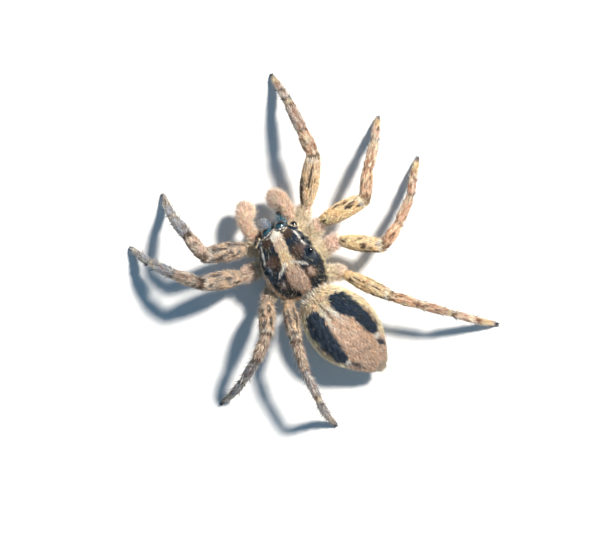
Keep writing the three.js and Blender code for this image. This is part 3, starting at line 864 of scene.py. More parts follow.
def shin_paint(colours, at, leg, segment):
    """Painted shade in ash grey, then streaks and flecks below the knee, and the rings of each piece
    there.
    """
    share, flecks, streaks = at["share"], at["flecks"], at["streaks"]
    amount, grey = MOTTLING[leg], SHADE_GREYING[leg]
    # painted shade: ash grey and smoke over the shaded legs, which also weakens their warm streaks and
    # flecks
    brush(colours, "ash", np.full(len(share), grey * SEGMENT_SHADE[segment]))
    brush(colours, "smoke", over(mottle(at["points"], 0.3, 24), 0.4, 0.4) * grey * 0.5)
    brush(colours, "russet", over(streaks, 0.3 - 0.2 * amount, 0.3) * (0.9 - 0.8 * grey))
    brush(colours, "cream", over(-streaks, 0.7, 0.2) * 0.6)
    brush(colours, "umber", over(flecks, 1.2 - 0.5 * amount, 0.15) * (0.85 - 0.4 * grey))
    if segment == "patella":
        ring = within(share + flecks * 0.03, 0.3, 0.42, 0.04)
        brush(colours, "chestnut", ring * over(at["side"], 0.3, 0.3) * 0.5)
    if segment == "tibia":
        brush(colours, "chestnut", within(share + flecks * 0.02, 0.8, 0.86, 0.02) * 0.5)
        brush(colours, "cream", within(share + flecks * 0.02, 0.88, 0.96, 0.02) * 0.8)
    if segment == "foot":
        start = over(0.1 + flecks * 0.03, share, 0.03)
        brush(colours, "slate", start * over(at["side"], 0.6, 0.3) * 0.7)
        brush(colours, "chestnut", within(share + flecks * 0.02, 0.54, 0.6, 0.02) * 0.6)
        brush(colours, "straw", within(share, 0.6, 0.85, 0.05) * (1 - grey) * 0.5)
        brush(colours, "claw", over(share, 0.88, 0.05) * 0.95)


print("most mottled leg:", max(MOTTLING, key=MOTTLING.get))

# %% Paint any piece of a leg
def leg_paint(reading, leg, segment):
    """The hair colours of one piece of a leg."""
    at = leg_map(reading, leg)
    share, flecks, points = at["share"], at["flecks"], at["points"]
    colours = np.tile(PAINT[SEGMENT_PAINT[segment]], (len(points), 1))
    if segment == "coxa":
        close = over(1.8, np.abs(in_head(points)[:, 0]), 0.15)  # cream beside the shield, pink beyond
        clouds = over(mottle(points, 0.25, 26), 0.6, 0.5)
        brush(colours, "cream", np.maximum(close * 0.85, clouds * 0.3))
        brush(colours, "russet", over(flecks, 1.1, 0.3) * 0.35)
        return colours
    brush(colours, "cream", over(mottle(points, 0.4, 21), 0.2, 0.5) * (0.65 - 0.4 * MOTTLING[leg]))
    if segment == "femur":
        thigh_paint(colours, at, leg)
    else:
        shin_paint(colours, at, leg, segment)
    end = over(share + flecks * 0.02, 0.97, 0.02) * (segment != "foot")
    brush(colours, "bark", end * 0.75)
    brush(colours, "umber", over(0.03 + flecks * 0.02, share, 0.02) * 0.6)
    brush(colours, "smoke", over(at["side"], 2.3, 0.5) * 0.35)  # painted shade: greyer on the underside of each piece
    return colours


print("paint for", len(SEGMENT_PAINT), "pieces of a leg is ready")

# %% [markdown]
# The palps are petal pink with cream clouds and a few rusty hairs. After them comes the one function
# that the skin and every hair ask for their colour: it finds the piece of the body and hands over to
# that piece's paint.

# %% Paint the palps, and bring all paint together
def palp_paint(reading):
    """The hair colours of the palps."""
    colours = np.tile(PAINT["petal"], (len(reading["points"]), 1))
    brush(colours, "cream", over(mottle(reading["points"], 0.2, 31), 0.1, 0.5) * 0.6)
    brush(colours, "tan", over(mottle(reading["points"], 0.1, 33), 0.3, 0.3) * 0.6)
    brush(colours, "russet", over(mottle(reading["grain"], 0.1, 32), 0.9, 0.2) * 0.4)
    return colours


TONE = 0.17  # how much the tone of pale hair varies from tuft to tuft


def pelt(reading):
    """The hair colour at points of the skin, as linear RGB."""
    colours = np.tile(PAINT["fawn"], (len(reading["points"]), 1))
    for index, name in enumerate(FLESH):
        here = reading["part"] == index
        if not here.any():
            continue
        some = {key: value[here] for key, value in reading.items()}
        segment = segment_of(name)
        if segment in SEGMENT_PAINT:
            colours[here] = leg_paint(some, name.rsplit("_", 1)[0], segment)
        elif name == "carapace":
            colours[here] = shield_paint(some)
        elif name in ("abdomen", "spinnerets"):
            colours[here] = abdomen_paint(some)
        elif segment in ("arm", "club"):
            colours[here] = palp_paint(some)
    pale = colours.mean(axis=1, keepdims=True) > BLACK
    tone = 1 + TONE * mottle(reading["points"], 0.07, 41)[:, None] * pale
    return np.clip(colours * tone, 0, 1)


skin_pelt = pelt(skin)
print("skin colours from", skin_pelt.min(axis=0).round(3), "to", skin_pelt.max(axis=0).round(3))

# %% [markdown]
# ## Cuticle
# A spider's skin is chitin: thin, slightly see-through and waxy, so it has a soft gloss. Under a
# dense coat it looks dark, and on the thinly haired legs the warm tan of the cuticle itself shows.
# Fur that is too short to stand clear is drawn as fine streaks of relief that run with the lie of the
# hair.

# %% Helpers for shaders
def node(tree, kind, settings=(), links=()):
    """Adds a shader node, sets its properties or sockets by name, and links other sockets to it."""
    made = tree.nodes.new(kind)
    for key, value in dict(settings).items():
        if isinstance(key, str) and hasattr(made, key):
            setattr(made, key, value)
        else:
            made.inputs[key].default_value = value
    for key, socket in dict(links).items():
        tree.links.new(socket, made.inputs[key])
    return made


def new_material(name, settings):
    """A material with one Principled shader; returns the material, its tree and the shader."""
    material = bpy.data.materials.new(name)
    material.use_nodes = True
    tree = material.node_tree
    tree.nodes.clear()
    shader = node(tree, "ShaderNodeBsdfPrincipled", settings)
    node(tree, "ShaderNodeOutputMaterial", links={"Surface": shader.outputs["BSDF"]})
    return material, tree, shader


def rgba(paint):
    """A paint from the palette, or a hex colour, as the four numbers of a colour socket."""
    return (*(PAINT[paint] if paint in PAINT else linear(paint)), 1)


def stored(tree, name, output="Fac"):
    """What the mesh carries under a name."""
    return node(tree, "ShaderNodeAttribute", {"attribute_name": name}).outputs[output]


def clouds(tree, size, detail=2):
    """Noise in the object's own space, its patches of a size in millimetres."""
    place_in = node(tree, "ShaderNodeTexCoord").outputs["Object"]
    settings = {"Scale": 1 / (size * MM), "Detail": detail}
    return node(tree, "ShaderNodeTexNoise", settings, {"Vector": place_in}).outputs["Fac"]


def ramp(tree, value, low, high, start=0.0):
    """A colour from low to high, as a value goes from start to one."""
    made = node(tree, "ShaderNodeValToRGB", links={"Fac": value})
    first, last = made.color_ramp.elements
    first.position, first.color, last.color = start, rgba(low), rgba(high)
    return made.outputs["Color"]


print("helpers for shaders ready")

# %% The cuticle's material
CHITIN_IOR = 1.56  # typical of chitin
STREAK = 0.03  # mm between the streaks: a hair's width, drawn twice as coarse so that it shows

# chitin under fur: a dull, waxy gloss, and a little light comes through where it is thin
cuticle, tree, shader = new_material("chitin_cuticle", {
    "Roughness": 0.5, "IOR": CHITIN_IOR, "Subsurface Weight": 0.12, "Subsurface Scale": 1e-4})
shader.inputs["Subsurface Radius"].default_value = (1.0, 0.5, 0.3)
colour = stored(tree, "pelt", "Color")
grain = stored(tree, "grain", "Vector")
combed = node(tree, "ShaderNodeMapping", {"Scale": (0.18, 1, 1)}, {"Vector": grain})
streaks = node(
    tree, "ShaderNodeTexNoise", {"Scale": 1 / STREAK, "Detail": 3, "Roughness": 0.6},
    {"Vector": combed.outputs["Vector"]}).outputs["Fac"]
MOST_OF_IT = {"From Min": 0.3, "From Max": 0.7}  # nearly all of the noise lies between these
shade = node(
    tree, "ShaderNodeMapRange", {**MOST_OF_IT, "To Min": 0.7, "To Max": 1.15}, {"Value": streaks})
tinted = node(
    tree, "ShaderNodeVectorMath", {"operation": "MULTIPLY"}, {0: colour, 1: shade.outputs["Result"]})
gloss = node(
    tree, "ShaderNodeMapRange", {**MOST_OF_IT, "To Min": 0.62, "To Max": 0.38}, {"Value": streaks})
bump = node(tree, "ShaderNodeBump", {"Strength": 0.6, "Distance": 1.2e-5}, {"Height": streaks})
tree.links.new(tinted.outputs["Vector"], shader.inputs["Base Color"])
tree.links.new(gloss.outputs["Result"], shader.inputs["Roughness"])
tree.links.new(bump.outputs["Normal"], shader.inputs["Normal"])
print("material:", cuticle.name)

# %% [markdown]
# ## The skin as a piece
# The skin stands for every solid of flesh, so those are hidden and kept only for contact. Its colours
# and its grain are stored on the corners of the mesh, where the material reads them.

# %% Put the skin in the scene
SKIN_SHADE = {  # how bright the skin is beside the hair on it
    "carapace": 0.8, "abdomen": 0.85, "sternum": 0.6, "coxa": 0.95, "femur": 0.95, "patella": 0.92,
    "tibia": 0.9, "foot": 0.88, "arm": 0.9, "club": 0.9, "pedicel": 0.6, "spinnerets": 0.85,
}


def store(mesh, name, kind, values):
    """Stores one value per vertex."""
    layer = mesh.attributes.new(name, kind, "POINT")
    key = {"FLOAT_COLOR": "color", "FLOAT_VECTOR": "vector", "FLOAT": "value"}[kind]
    layer.data.foreach_set(key, np.ascontiguousarray(values, np.float32).ravel())


def with_alpha(colours):
    """Linear RGB as the four numbers of a colour attribute."""
    return np.concatenate([colours, np.ones((len(colours), 1))], axis=1)


def place(name, mesh, material, slot, replaced=()):
    """Puts a finished mesh in the scene, in metres, riding on the body."""
    mesh.transform(Matrix.Scale(MM, 4))
    mesh.materials.clear()
    mesh.materials.append(material)
    mesh.shade_smooth()
    piece = bpy.data.objects.new(name, mesh)
    bpy.context.scene.collection.objects.link(piece)
    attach(piece, "root")
    if replaced:
        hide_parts(*replaced)
    print(f"{name}: {sum(len(p.vertices) - 2 for p in mesh.polygons)} triangles")
    return piece


shades = np.array([SKIN_SHADE[segment_of(name)] for name in FLESH])[skin_part]
store(remeshed, "pelt", "FLOAT_COLOR", with_alpha(skin_pelt * shades[:, None]))
store(remeshed, "grain", "FLOAT_VECTOR", skin["grain"])
place("skin", remeshed, cuticle, "tan_hair", FLESH)

# %% [markdown]
# ## Eyes
# Each eye is one clear, hard lens over a dark well, which is why it looks black with a bright spot.
# It is turned on a lathe in code: a ball that sits in the mount, with a dome a little steeper than a
# ball, as a cornea is. Towards the rim, most on the two great eyes, a blue-green sheen is painted into
# the well, so each point of a lens stores how near it is to the rim.

# %% Turn the lenses
LENS_SIDES = 48


def turned(profile, sides=LENS_SIDES):
    """A closed lathe form about +Z from a profile of (radius, height), from its bottom to its top."""
    shape = bmesh.new()
    rings = []
    for radius, height in profile:
        if radius < 1e-6:
            rings.append([shape.verts.new((0, 0, height))])
            continue
        turns = [2 * math.pi * k / sides for k in range(sides)]
        ring = [(radius * math.cos(turn), radius * math.sin(turn), height) for turn in turns]
        rings.append([shape.verts.new(place) for place in ring])
    for low, high in zip(rings[:-1], rings[1:]):
        for k in range(sides):
            around = [
                low[k % len(low)], low[(k + 1) % len(low)],
                high[(k + 1) % len(high)], high[k % len(high)]]
            shape.faces.new(list(dict.fromkeys(around)))  # where a ring is one point, a triangle
    return shape


STEEP = 1.06  # how far the cornea bulges past a ball


def lens_profile(radius):
    """The ball of the eye with its steeper cornea, as (radius, height) from the bottom up."""
    steps = np.linspace(0, math.pi, 25)[1:-1]
    side = [
        (math.sin(a) * radius, -math.cos(a) * radius * (STEEP if a > math.pi / 2 else 1))
        for a in steps]
    return [(0, -radius), *side, (0, STEEP * radius)]


print("sides of a lens:", LENS_SIDES)

# %% Glaze the lenses and set them in
# clear, hard chitin: one small sharp highlight over a dark well
cornea, tree, shader = new_material("clear_cornea", {
    "Roughness": 0.04, "IOR": CHITIN_IOR, "Coat Weight": 0.6, "Coat Roughness": 0.02})
depths = clouds(tree, 0.4)
cloud = node(tree, "ShaderNodeMapRange", {"To Min": -0.2, "To Max": 0.2}, {"Value": depths})
hue = node(
    tree, "ShaderNodeMath", {"operation": "ADD"}, {0: stored(tree, "rim"), 1: cloud.outputs[0]})
# painted sheen: the well's colour turns from black to blue-green towards the rim
well = ramp(tree, hue.outputs[0], "#04060a", "#3f6f80", start=0.3)
tree.links.new(well, shader.inputs["Base Color"])
# how strong the painted sheen is at the rim of each kind of eye
RIM_SHEEN = {
    "anterior_median": 1.0, "anterior_lateral": 0.5,
    "posterior_median": 0.3, "posterior_lateral": 0.3,
}

for (kind, side), (middle, radius) in eyes.items():
    lens = turned(lens_profile(radius))
    facing = Vector(eye_facing[kind, side]).to_track_quat("Z", "Y").to_matrix().to_4x4()
    bmesh.ops.transform(lens, matrix=Matrix.Translation(middle) @ facing, verts=lens.verts)
    name = f"eye_{kind}_{side}"
    mesh = as_mesh(lens, name)
    out = unit(array_of(mesh.vertices, "co", 3) - middle)
    store(mesh, "rim", "FLOAT", (1 - np.clip(out @ eye_facing[kind, side], 0, 1)) * RIM_SHEEN[kind])
    place(f"lens_{kind}_{side}", mesh, cornea, "lens", [name])

# %% [markdown]
# ## Jaws
# The chelicerae are stout, bare and shiny, and their chitin has a sheen that goes from blue-green on
# one side to lavender on the other; this sheen is painted into their colour by each point's place
# across the jaws. A fang folds in under each. The solids already have their taper, so each is rounded
# by a subdivision surface, with one fang drawn as a bent horn.

# %% The jaws' chitin
# bare chitin in thin layers: a smooth gloss with the tint of a metal
jaw_chitin, tree, shader = new_material("sheened_chitin", {
    "Roughness": 0.32, "IOR": CHITIN_IOR, "Metallic": 0.2, "Coat Weight": 0.25})
RIDGE = 0.05  # mm between the fine ridges of the jaw
ridges = clouds(tree, RIDGE, detail=4)
# painted sheen: blue-green to lavender, painted into the base colour by place across the jaws
sheen = ramp(tree, stored(tree, "hue"), "#175064", "#727c91")  # blue-green to lavender
bump = node(tree, "ShaderNodeBump", {"Strength": 0.35, "Distance": 1e-5}, {"Height": ridges})
tree.links.new(sheen, shader.inputs["Base Color"])
tree.links.new(bump.outputs["Normal"], shader.inputs["Normal"])
print("material:", jaw_chitin.name)

# %% [markdown]
# A fang, a claw, a spine and a hair all have one form: a closed strand that tapers to a point and
# bends back. So one function makes them all at once, each from its root, its lie and its own
# measures.

# %% Strands, which serve for fangs, claws, spines and hair
def strands(roots, normals, lie, length, width, depth, rise, curl, stations, sides=3):
    """Closed, tapering strands: their points, triangles, and each point's share along and round.

    Each strand leaves its root along lie, lifted by the angle rise and bent back by curl. A
    station is a share of the length with the share of the width there.
    """
    forward = unit(lie - normals * np.sum(lie * normals, axis=1, keepdims=True))
    side = np.cross(forward, normals)
    length, width, depth, rise, curl = (
        np.broadcast_to(value, len(roots))[:, None] for value in (length, width, depth, rise, curl))

    def middle(share):
        """The strands' middle lines at a share of their length."""
        return roots + length * (
            forward * share * np.cos(rise) + normals * (share * np.sin(rise) - curl * share**2))

    rows = [roots - normals * depth * 1.5]
    marks = [(0, 0)]
    for share, wide in stations:
        for k in range(sides):
            turn = 2 * math.pi * k / sides
            ring = side * math.sin(turn) * width / 2 + normals * math.cos(turn) * depth / 2
            rows.append(middle(share) + ring * wide)
            marks.append((share, k / sides))
    rows.append(middle(1.0))
    marks.append((1, 0))

    last = len(rows) - 1
    faces = []
    for k in range(sides):
        after = (k + 1) % sides
        faces.append((1 + after, 1 + k, 0))
        for ring in range(len(stations) - 1):
            low, high = 1 + ring * sides, 1 + (ring + 1) * sides
            faces += [(low + k, low + after, high + after), (low + k, high + after, high + k)]
        faces.append((last - sides + k, last - sides + after, last))
    points = np.stack(rows, axis=1).reshape(-1, 3)
    shift = np.arange(len(roots))[:, None, None] * len(rows)
    triangles = (shift + np.array(faces)[None]).reshape(-1, 3)
    return points, triangles, np.tile(marks, (len(roots), 1)), len(rows)


def mesh_of(name, points, triangles):
    """A mesh from tables of points and triangles."""
    mesh = bpy.data.meshes.new(name)
    mesh.vertices.add(len(points))
    mesh.vertices.foreach_set("co", np.ascontiguousarray(points, np.float32).ravel())
    mesh.loops.add(triangles.size)
    mesh.loops.foreach_set("vertex_index", np.ascontiguousarray(triangles, np.int32).ravel())
    mesh.polygons.add(len(triangles))
    mesh.polygons.foreach_set("loop_start", np.arange(0, triangles.size, 3, dtype=np.int32))
    mesh.update(calc_edges=True)
    return mesh


DEGREE = math.pi / 180
HORN = [  # the taper of fangs and claws
    (0.02, 1.0), (0.25, 0.95), (0.5, 0.75), (0.75, 0.45), (0.92, 0.2)]
print("rings on a horn:", len(HORN))

# %% Round the jaws and add the fangs
SHEEN_WIDTH = 0.9  # mm from the middle line to where the painted sheen is fully lavender
jaws = {}  # points, normals and triangles, for the hair that grows on them
for side, towards_middle in (("right", 1), ("left", -1)):
    name = f"chelicera_{side}"
    jaw = rounded(name)
    low = in_head(corners(name))
    end = low[low[:, 2] < low[:, 2].min() + 0.12].mean(axis=0)
    root = from_head(*(end + [-towards_middle * 0.1, 0.06, 0.08]))
    down = unit(np.array([0.5 * towards_middle, 0.6, -1.0]) @ HEAD_AXES)
    inwards = unit(np.array([towards_middle, 0.6, 0.0]) @ HEAD_AXES)
    fang = strands(
        root[None], inwards[None], down[None], length=0.36, width=0.14, depth=0.12,
        rise=0.1, curl=-0.9, stations=HORN, sides=12)
    places = array_of(jaw.vertices, "co", 3).astype(float)
    outward = array_of(jaw.vertices, "normal", 3).astype(float)
    jaws[side] = (places, outward, triangles_of(jaw))
    shape = bmesh.new()
    shape.from_mesh(jaw)
    shape.from_mesh(mesh_of("fang", fang[0], fang[1]))
    mesh = as_mesh(shape, name)
    points = array_of(mesh.vertices, "co", 3)
    across = in_head(points)[:, 0] / SHEEN_WIDTH
    store(mesh, "hue", "FLOAT", np.clip(0.5 + 0.5 * across + 0.25 * mottle(points, 0.25, 51), 0, 1))
    place(f"jaw_{side}", mesh, jaw_chitin, "chelicera", [name])

# %% [markdown]
# ## Hair: the coat's tools
# Every hair on a jumping spider grows from a socket in the cuticle and lies towards the tail or the
# toe. Blender's own hair is lost on export, so each hair here is a small closed mesh: a spindle with
# a three-sided section. Roots are scattered evenly over the skin by area. Each hair takes its colour
# from the skin below it, and its patch on the unwrap from its root's place along and around its piece
# of the body.

# %% Hair's own chitin
# dry chitin too thin to shine: almost matt, with a faint light edge where it is seen at a slant
hair, tree, shader = new_material("chitin_setae", {
    "Roughness": 0.55, "IOR": CHITIN_IOR, "Specular IOR Level": 0.22, "Sheen Weight": 0.03})
colour = stored(tree, "pelt", "Color")
along = stored(tree, "along")
fate = stored(tree, "fate")
# painted shade: each hair is darker towards its root, deep in the coat, and a little brighter at its
# tip
root_shade = node(tree, "ShaderNodeMapRange", {"To Min": 0.85, "To Max": 1.12}, {"Value": along})
own_shade = node(tree, "ShaderNodeMapRange", {"To Min": 0.68, "To Max": 1.3}, {"Value": fate})
both = node(
    tree, "ShaderNodeMath", {"operation": "MULTIPLY"},
    {0: root_shade.outputs[0], 1: own_shade.outputs[0]})
tinted = node(
    tree, "ShaderNodeVectorMath", {"operation": "MULTIPLY"}, {0: colour, 1: both.outputs[0]})
tree.links.new(tinted.outputs["Vector"], shader.inputs["Base Color"])
print("material:", hair.name)

# %% [markdown]
# Roots fall at random points of random triangles, with more on the larger ones. Then a net of small
# cubes is laid over them and each cube keeps one, so that no two roots crowd. None may lie under a
# lens.

# %% Scatter the roots
SCALE = [(0.4, 1.0)]  # a short, flat hair: widest at two fifths of its length
BRISTLE = [(0.12, 1.0), (0.6, 0.75)]  # a long hair, which bends
LENS_CLEAR = 1.16  # no hair grows nearer to the middle of a lens than this many of its radii
CROWD = 2.2  # roots tried for each one that is wanted
eye_middles = np.array([middle for middle, _ in eyes.values()])
eye_radii = np.array([radius for _, radius in eyes.values()])


def scatter(points, normals, triangles, spacing):
    """Roots spread evenly over some triangles: their places, normals and triangles."""
    a, b, c = (points[triangles[:, k]] for k in range(3))
    area = np.linalg.norm(np.cross(b - a, c - a), axis=1) / 2
    total = np.cumsum(area)
    count = int(total[-1] / spacing**2 * CROWD)
    pick = np.searchsorted(total, chance.random(count) * total[-1])
    u, v = chance.random((2, count, 1))
    flip = u + v > 1
    u, v = np.where(flip, 1 - u, u), np.where(flip, 1 - v, v)
    places = a[pick] + u * (b - a)[pick] + v * (c - a)[pick]
    _, first = np.unique(np.floor(places / spacing).astype(np.int64), axis=0, return_index=True)
    first.sort()
    pick = pick[first]
    a, b, c = (normals[triangles[pick, k]] for k in range(3))
    blend = a * (1 - u - v)[first] + b * u[first] + c * v[first]
    return places[first], unit(blend), pick


def roots_on(names, spacing, keep=None):
    """Hair roots on some pieces of the skin, with everything that is known about their places."""
    wanted = [FLESH.index(name) for name in names]
    triangles = skin_triangles[np.isin(skin_part[skin_triangles[:, 0]], wanted)]
    places, normals, pick = scatter(skin_points, skin_normals, triangles, spacing)
    reading = read_skin(places, normals, skin_part[triangles[pick, 0]])
    reach = np.linalg.norm(places[:, None] - eye_middles[None], axis=2) / eye_radii[None]
    nearest = eye_radii[reach.argmin(axis=1)]
    reading["clear"] = (reach.min(axis=1) - LENS_CLEAR) * nearest  # mm from the nearest lens
    good = reading["clear"] > 0
    if keep is not None:
        good &= keep(reading)
    return {key: value[good] for key, value in reading.items()}


print("lenses to keep clear:", len(eye_radii))

# %% [markdown]
# Hair lies towards the tail or the toe. On the flanks it turns outwards and down, and on the face it
# hangs. No two hairs are alike: each has its own turn, length, width and rise, near those of its
# batch.

# %% Comb the hair
def comb(reading):
    """The way the hair lies: towards tail or toe, outwards on the flanks, and down the face."""
    lie = reading["lie"].copy()
    shield = reading["part"] == FLESH.index("carapace")
    left, behind, up = in_head(reading["points"][shield]).T
    ahead = np.stack([0.3 * left, 1.0 + 0 * left, -0.25 * np.abs(left)], axis=1)
    face = over(0.0, behind, 0.2)[:, None]
    down = np.stack([0.5 * np.sign(left), -0.2 + 0 * left, -1.0 + 0 * left], axis=1)
    lie[shield] = (ahead * (1 - face) + down * face) @ HEAD_AXES
    belly = reading["part"] == FLESH.index("abdomen")
    left, behind, up = in_abdomen(reading["points"][belly]).T
    lie[belly] = np.stack([0.12 * left, 1.0 + 0 * left, -0.22 * np.abs(left)], axis=1) @ ABDOMEN_AXES
    return lie


STANDING = 1.2  # the rise of hair at the very tip of a foot or palp, in radians


def hairs(
        reading, length, width, rise, curl=0.1, spread=0.25, form=SCALE, flat=0.35,
        lie=None, colours=None):
    """One batch of hair on a set of roots; angles in radians, lengths in millimetres."""
    count = len(reading["points"])
    normals = reading["normals"]
    lie = comb(reading) if lie is None else lie
    forward = unit(lie - normals * np.sum(lie * normals, axis=1, keepdims=True))
    turn = chance.normal(0, spread, count)[:, None]
    forward = forward * np.cos(turn) + np.cross(forward, normals) * np.sin(turn)
    length = length * chance.uniform(0.75, 1.25, count)
    if "clear" in reading:
        length = length * np.clip(reading["clear"] / 0.2, 0.35, 1)  # shorter beside the eyes
    width = width * chance.uniform(0.8, 1.2, count)
    rise = rise * chance.uniform(0.6, 1.4, count)
    blunt = over(np.sum(unit(lie) * normals, axis=1), 0.75, 0.2)  # at a tip the hair stands on end
    rise = rise + (STANDING - rise) * blunt
    points, triangles, marks, rows = strands(
        reading["points"], normals, forward, length, width, width * flat, rise, curl, form)
    colours = pelt(reading) if colours is None else colours
    return {
        "points": points,
        "triangles": triangles,
        "marks": marks,
        "pelt": np.repeat(colours, rows, axis=0),
        "fate": np.repeat(chance.random(count), rows),
        "around": np.repeat(reading["angle"] / (2 * math.pi) + 0.5, rows),
        "along_piece": np.repeat(np.clip(reading["share"], 0, 1), rows),
        "part": np.repeat(reading["part"], rows),
    }


print("points of a scale:", 2 + 3 * len(SCALE), "and of a bristle:", 2 + 3 * len(BRISTLE))

# %% [markdown]
# The batches of one place are sewn into one piece. A real coat is never one colour either: white and
# brown hairs are strewn through it, and so a share of each batch is turned towards another paint.

# %% Sew a coat
FLOOR_GAP = 0.004  # mm that hair and claws keep from the floor
PATCH = 0.003  # the width of a hair's patch on the unwrap


def sew(name, batches, slot, material=hair):
    """Joins batches of hair into one piece of the coat, with its unwrap and what the hair shows."""
    shift = np.cumsum([0] + [len(batch["points"]) for batch in batches])
    joined = {
        key: np.concatenate([batch[key] for batch in batches])
        for key in batches[0] if key != "triangles"}
    triangles = np.concatenate([batch["triangles"] + start for batch, start in zip(batches, shift)])
    joined["points"][:, 2] = np.maximum(joined["points"][:, 2], FLOOR_GAP)
    mesh = mesh_of(name, joined["points"], triangles)
    store(mesh, "pelt", "FLOAT_COLOR", with_alpha(joined["pelt"]))
    store(mesh, "along", "FLOAT", joined["marks"][:, 0])
    store(mesh, "fate", "FLOAT", joined["fate"])

    # Each piece of the body has a strip of the unwrap, and a hair lies where its root does
    owners = np.unique(joined["part"])
    row = np.searchsorted(owners, joined["part"])
    u = joined["around"] * (1 - PATCH) + joined["marks"][:, 1] * PATCH
    v = (row + joined["along_piece"]) / len(owners) * (1 - PATCH) + joined["marks"][:, 0] * PATCH
    unwrap = np.stack([u, v], axis=1)[triangles.ravel()]
    layer = mesh.uv_layers.new(name="OFBake")
    layer.data.foreach_set("uv", np.ascontiguousarray(unwrap, np.float32).ravel())
    return place(name, mesh, material, slot)


DARK = 0.2  # hairs darker than this, brown ones too, are left as they are


def mixed(colours, paint, share, strength):
    """Turns a random share of the hairs towards one paint, but not the dark ones."""
    result = colours.copy()
    pale = colours.mean(axis=1) > DARK
    brush(result, paint, (chance.random(len(colours)) < share) * pale * strength)
    return result


print("hair tools ready")

# %% [markdown]
# ## The shield's coat
# Short, flat, scale-like hairs cover the shield like thatch, shortest on the face. A few longer pale
# hairs stand among them where the coat isn't black. Under the shield's margin a fringe of fine hair
# hangs back over the roots of the legs.

# %% Coat the shield
def is_pale(reading):
    """Roots whose hair isn't black."""
    return pelt(reading).mean(axis=1) > BLACK


def on_the_flank(reading):
    """The strip of flank under the shield's margin, where the skin faces outwards."""
    left, behind, up = in_head(reading["points"]).T
    return (behind > 0.1) & (up > 1.0) & (up < 1.55) & (np.abs(reading["normals"][:, 2]) < 0.6)


GUARD = {"form": BRISTLE, "flat": 0.8}  # longer hair that stands clear of the pile
pile = roots_on(["carapace"], 0.034, lambda r: in_head(r["points"])[:, 2] > 1.25)
face = over(0.0, in_head(pile["points"])[:, 1], 0.2)
colours = mixed(mixed(pelt(pile), "ivory", 0.12, 0.6), "chestnut", 0.08, 0.6)
short = hairs(
    pile, length=0.18 - 0.06 * face, width=0.031, rise=10 * DEGREE, curl=0.05, spread=0.3,
    colours=colours)

long = roots_on(["carapace"], 0.15, lambda r: (in_head(r["points"])[:, 1] > 0) & is_pale(r))
colours = mixed(pelt(long), "ivory", 0.5, 0.6)
guard = hairs(
    long, length=0.26, width=0.02, rise=32 * DEGREE, curl=0.15, spread=0.3, colours=colours, **GUARD)

flank = roots_on(["carapace"], 0.043, on_the_flank)
backwards = np.tile(head_back - 0.6 * head_up, (len(flank["points"]), 1))
colours = mixed(mixed(pelt(flank), "ivory", 0.4, 0.6), "russet", 0.06, 0.4)
fringe = hairs(
    flank, length=0.34, width=0.028, rise=50 * DEGREE, curl=0.2, spread=0.4,
    form=BRISTLE, flat=0.7, lie=backwards, colours=colours)
sew("coat_shield", [short, guard, fringe], "carapace_hair")

# %% [markdown]
# ## The abdomen's coat
# The abdomen's pile is half as long again as the shield's, and long pale hairs stand out of it all
# round, which soften its outline. At the waist stiff white bristles point forwards over the gap.

# %% Coat the abdomen
pile = roots_on(["abdomen"], 0.038)
colours = mixed(mixed(pelt(pile), "ivory", 0.12, 0.5), "chestnut", 0.07, 0.5)
short = hairs(
    pile, length=0.26, width=0.034, rise=12 * DEGREE, curl=0.06, spread=0.28, colours=colours)
sew("coat_abdomen", [short], "abdomen_hair")

long = roots_on(["abdomen", "spinnerets"], 0.12, is_pale)
colours = mixed(pelt(long), "ivory", 0.5, 0.5)
guard = hairs(
    long, length=0.32, width=0.022, rise=26 * DEGREE, curl=0.18, spread=0.3, colours=colours,
    **GUARD)

front = roots_on(["abdomen"], 0.14, lambda r: in_abdomen(r["points"])[:, 1] < 0.42)
forwards = -np.tile(abdomen_back, (len(front["points"]), 1)) + 0.5 * front["normals"]
colours = mixed(np.tile(PAINT["ivory"], (len(front["points"]), 1)), "soot", 0.3, 0.95)
brow = hairs(
    front, length=0.38, width=0.03, rise=40 * DEGREE, curl=0.2, spread=0.35, lie=forwards,
    colours=colours, **GUARD)
sew("coat_abdomen_long", [guard, brow], "abdomen_hair")

# %% [markdown]
# ## The legs' and palps' coats
# Legs are thinly haired, so their colour comes through from the cuticle. Fine hairs lie along them,
# with longer ones standing out all round, longest on the last two left legs. The hips are fluffy, so
# that they close up beside the shield. Each foot ends in a dense pad of slate-coloured hair, which is
# what lets the spider climb.

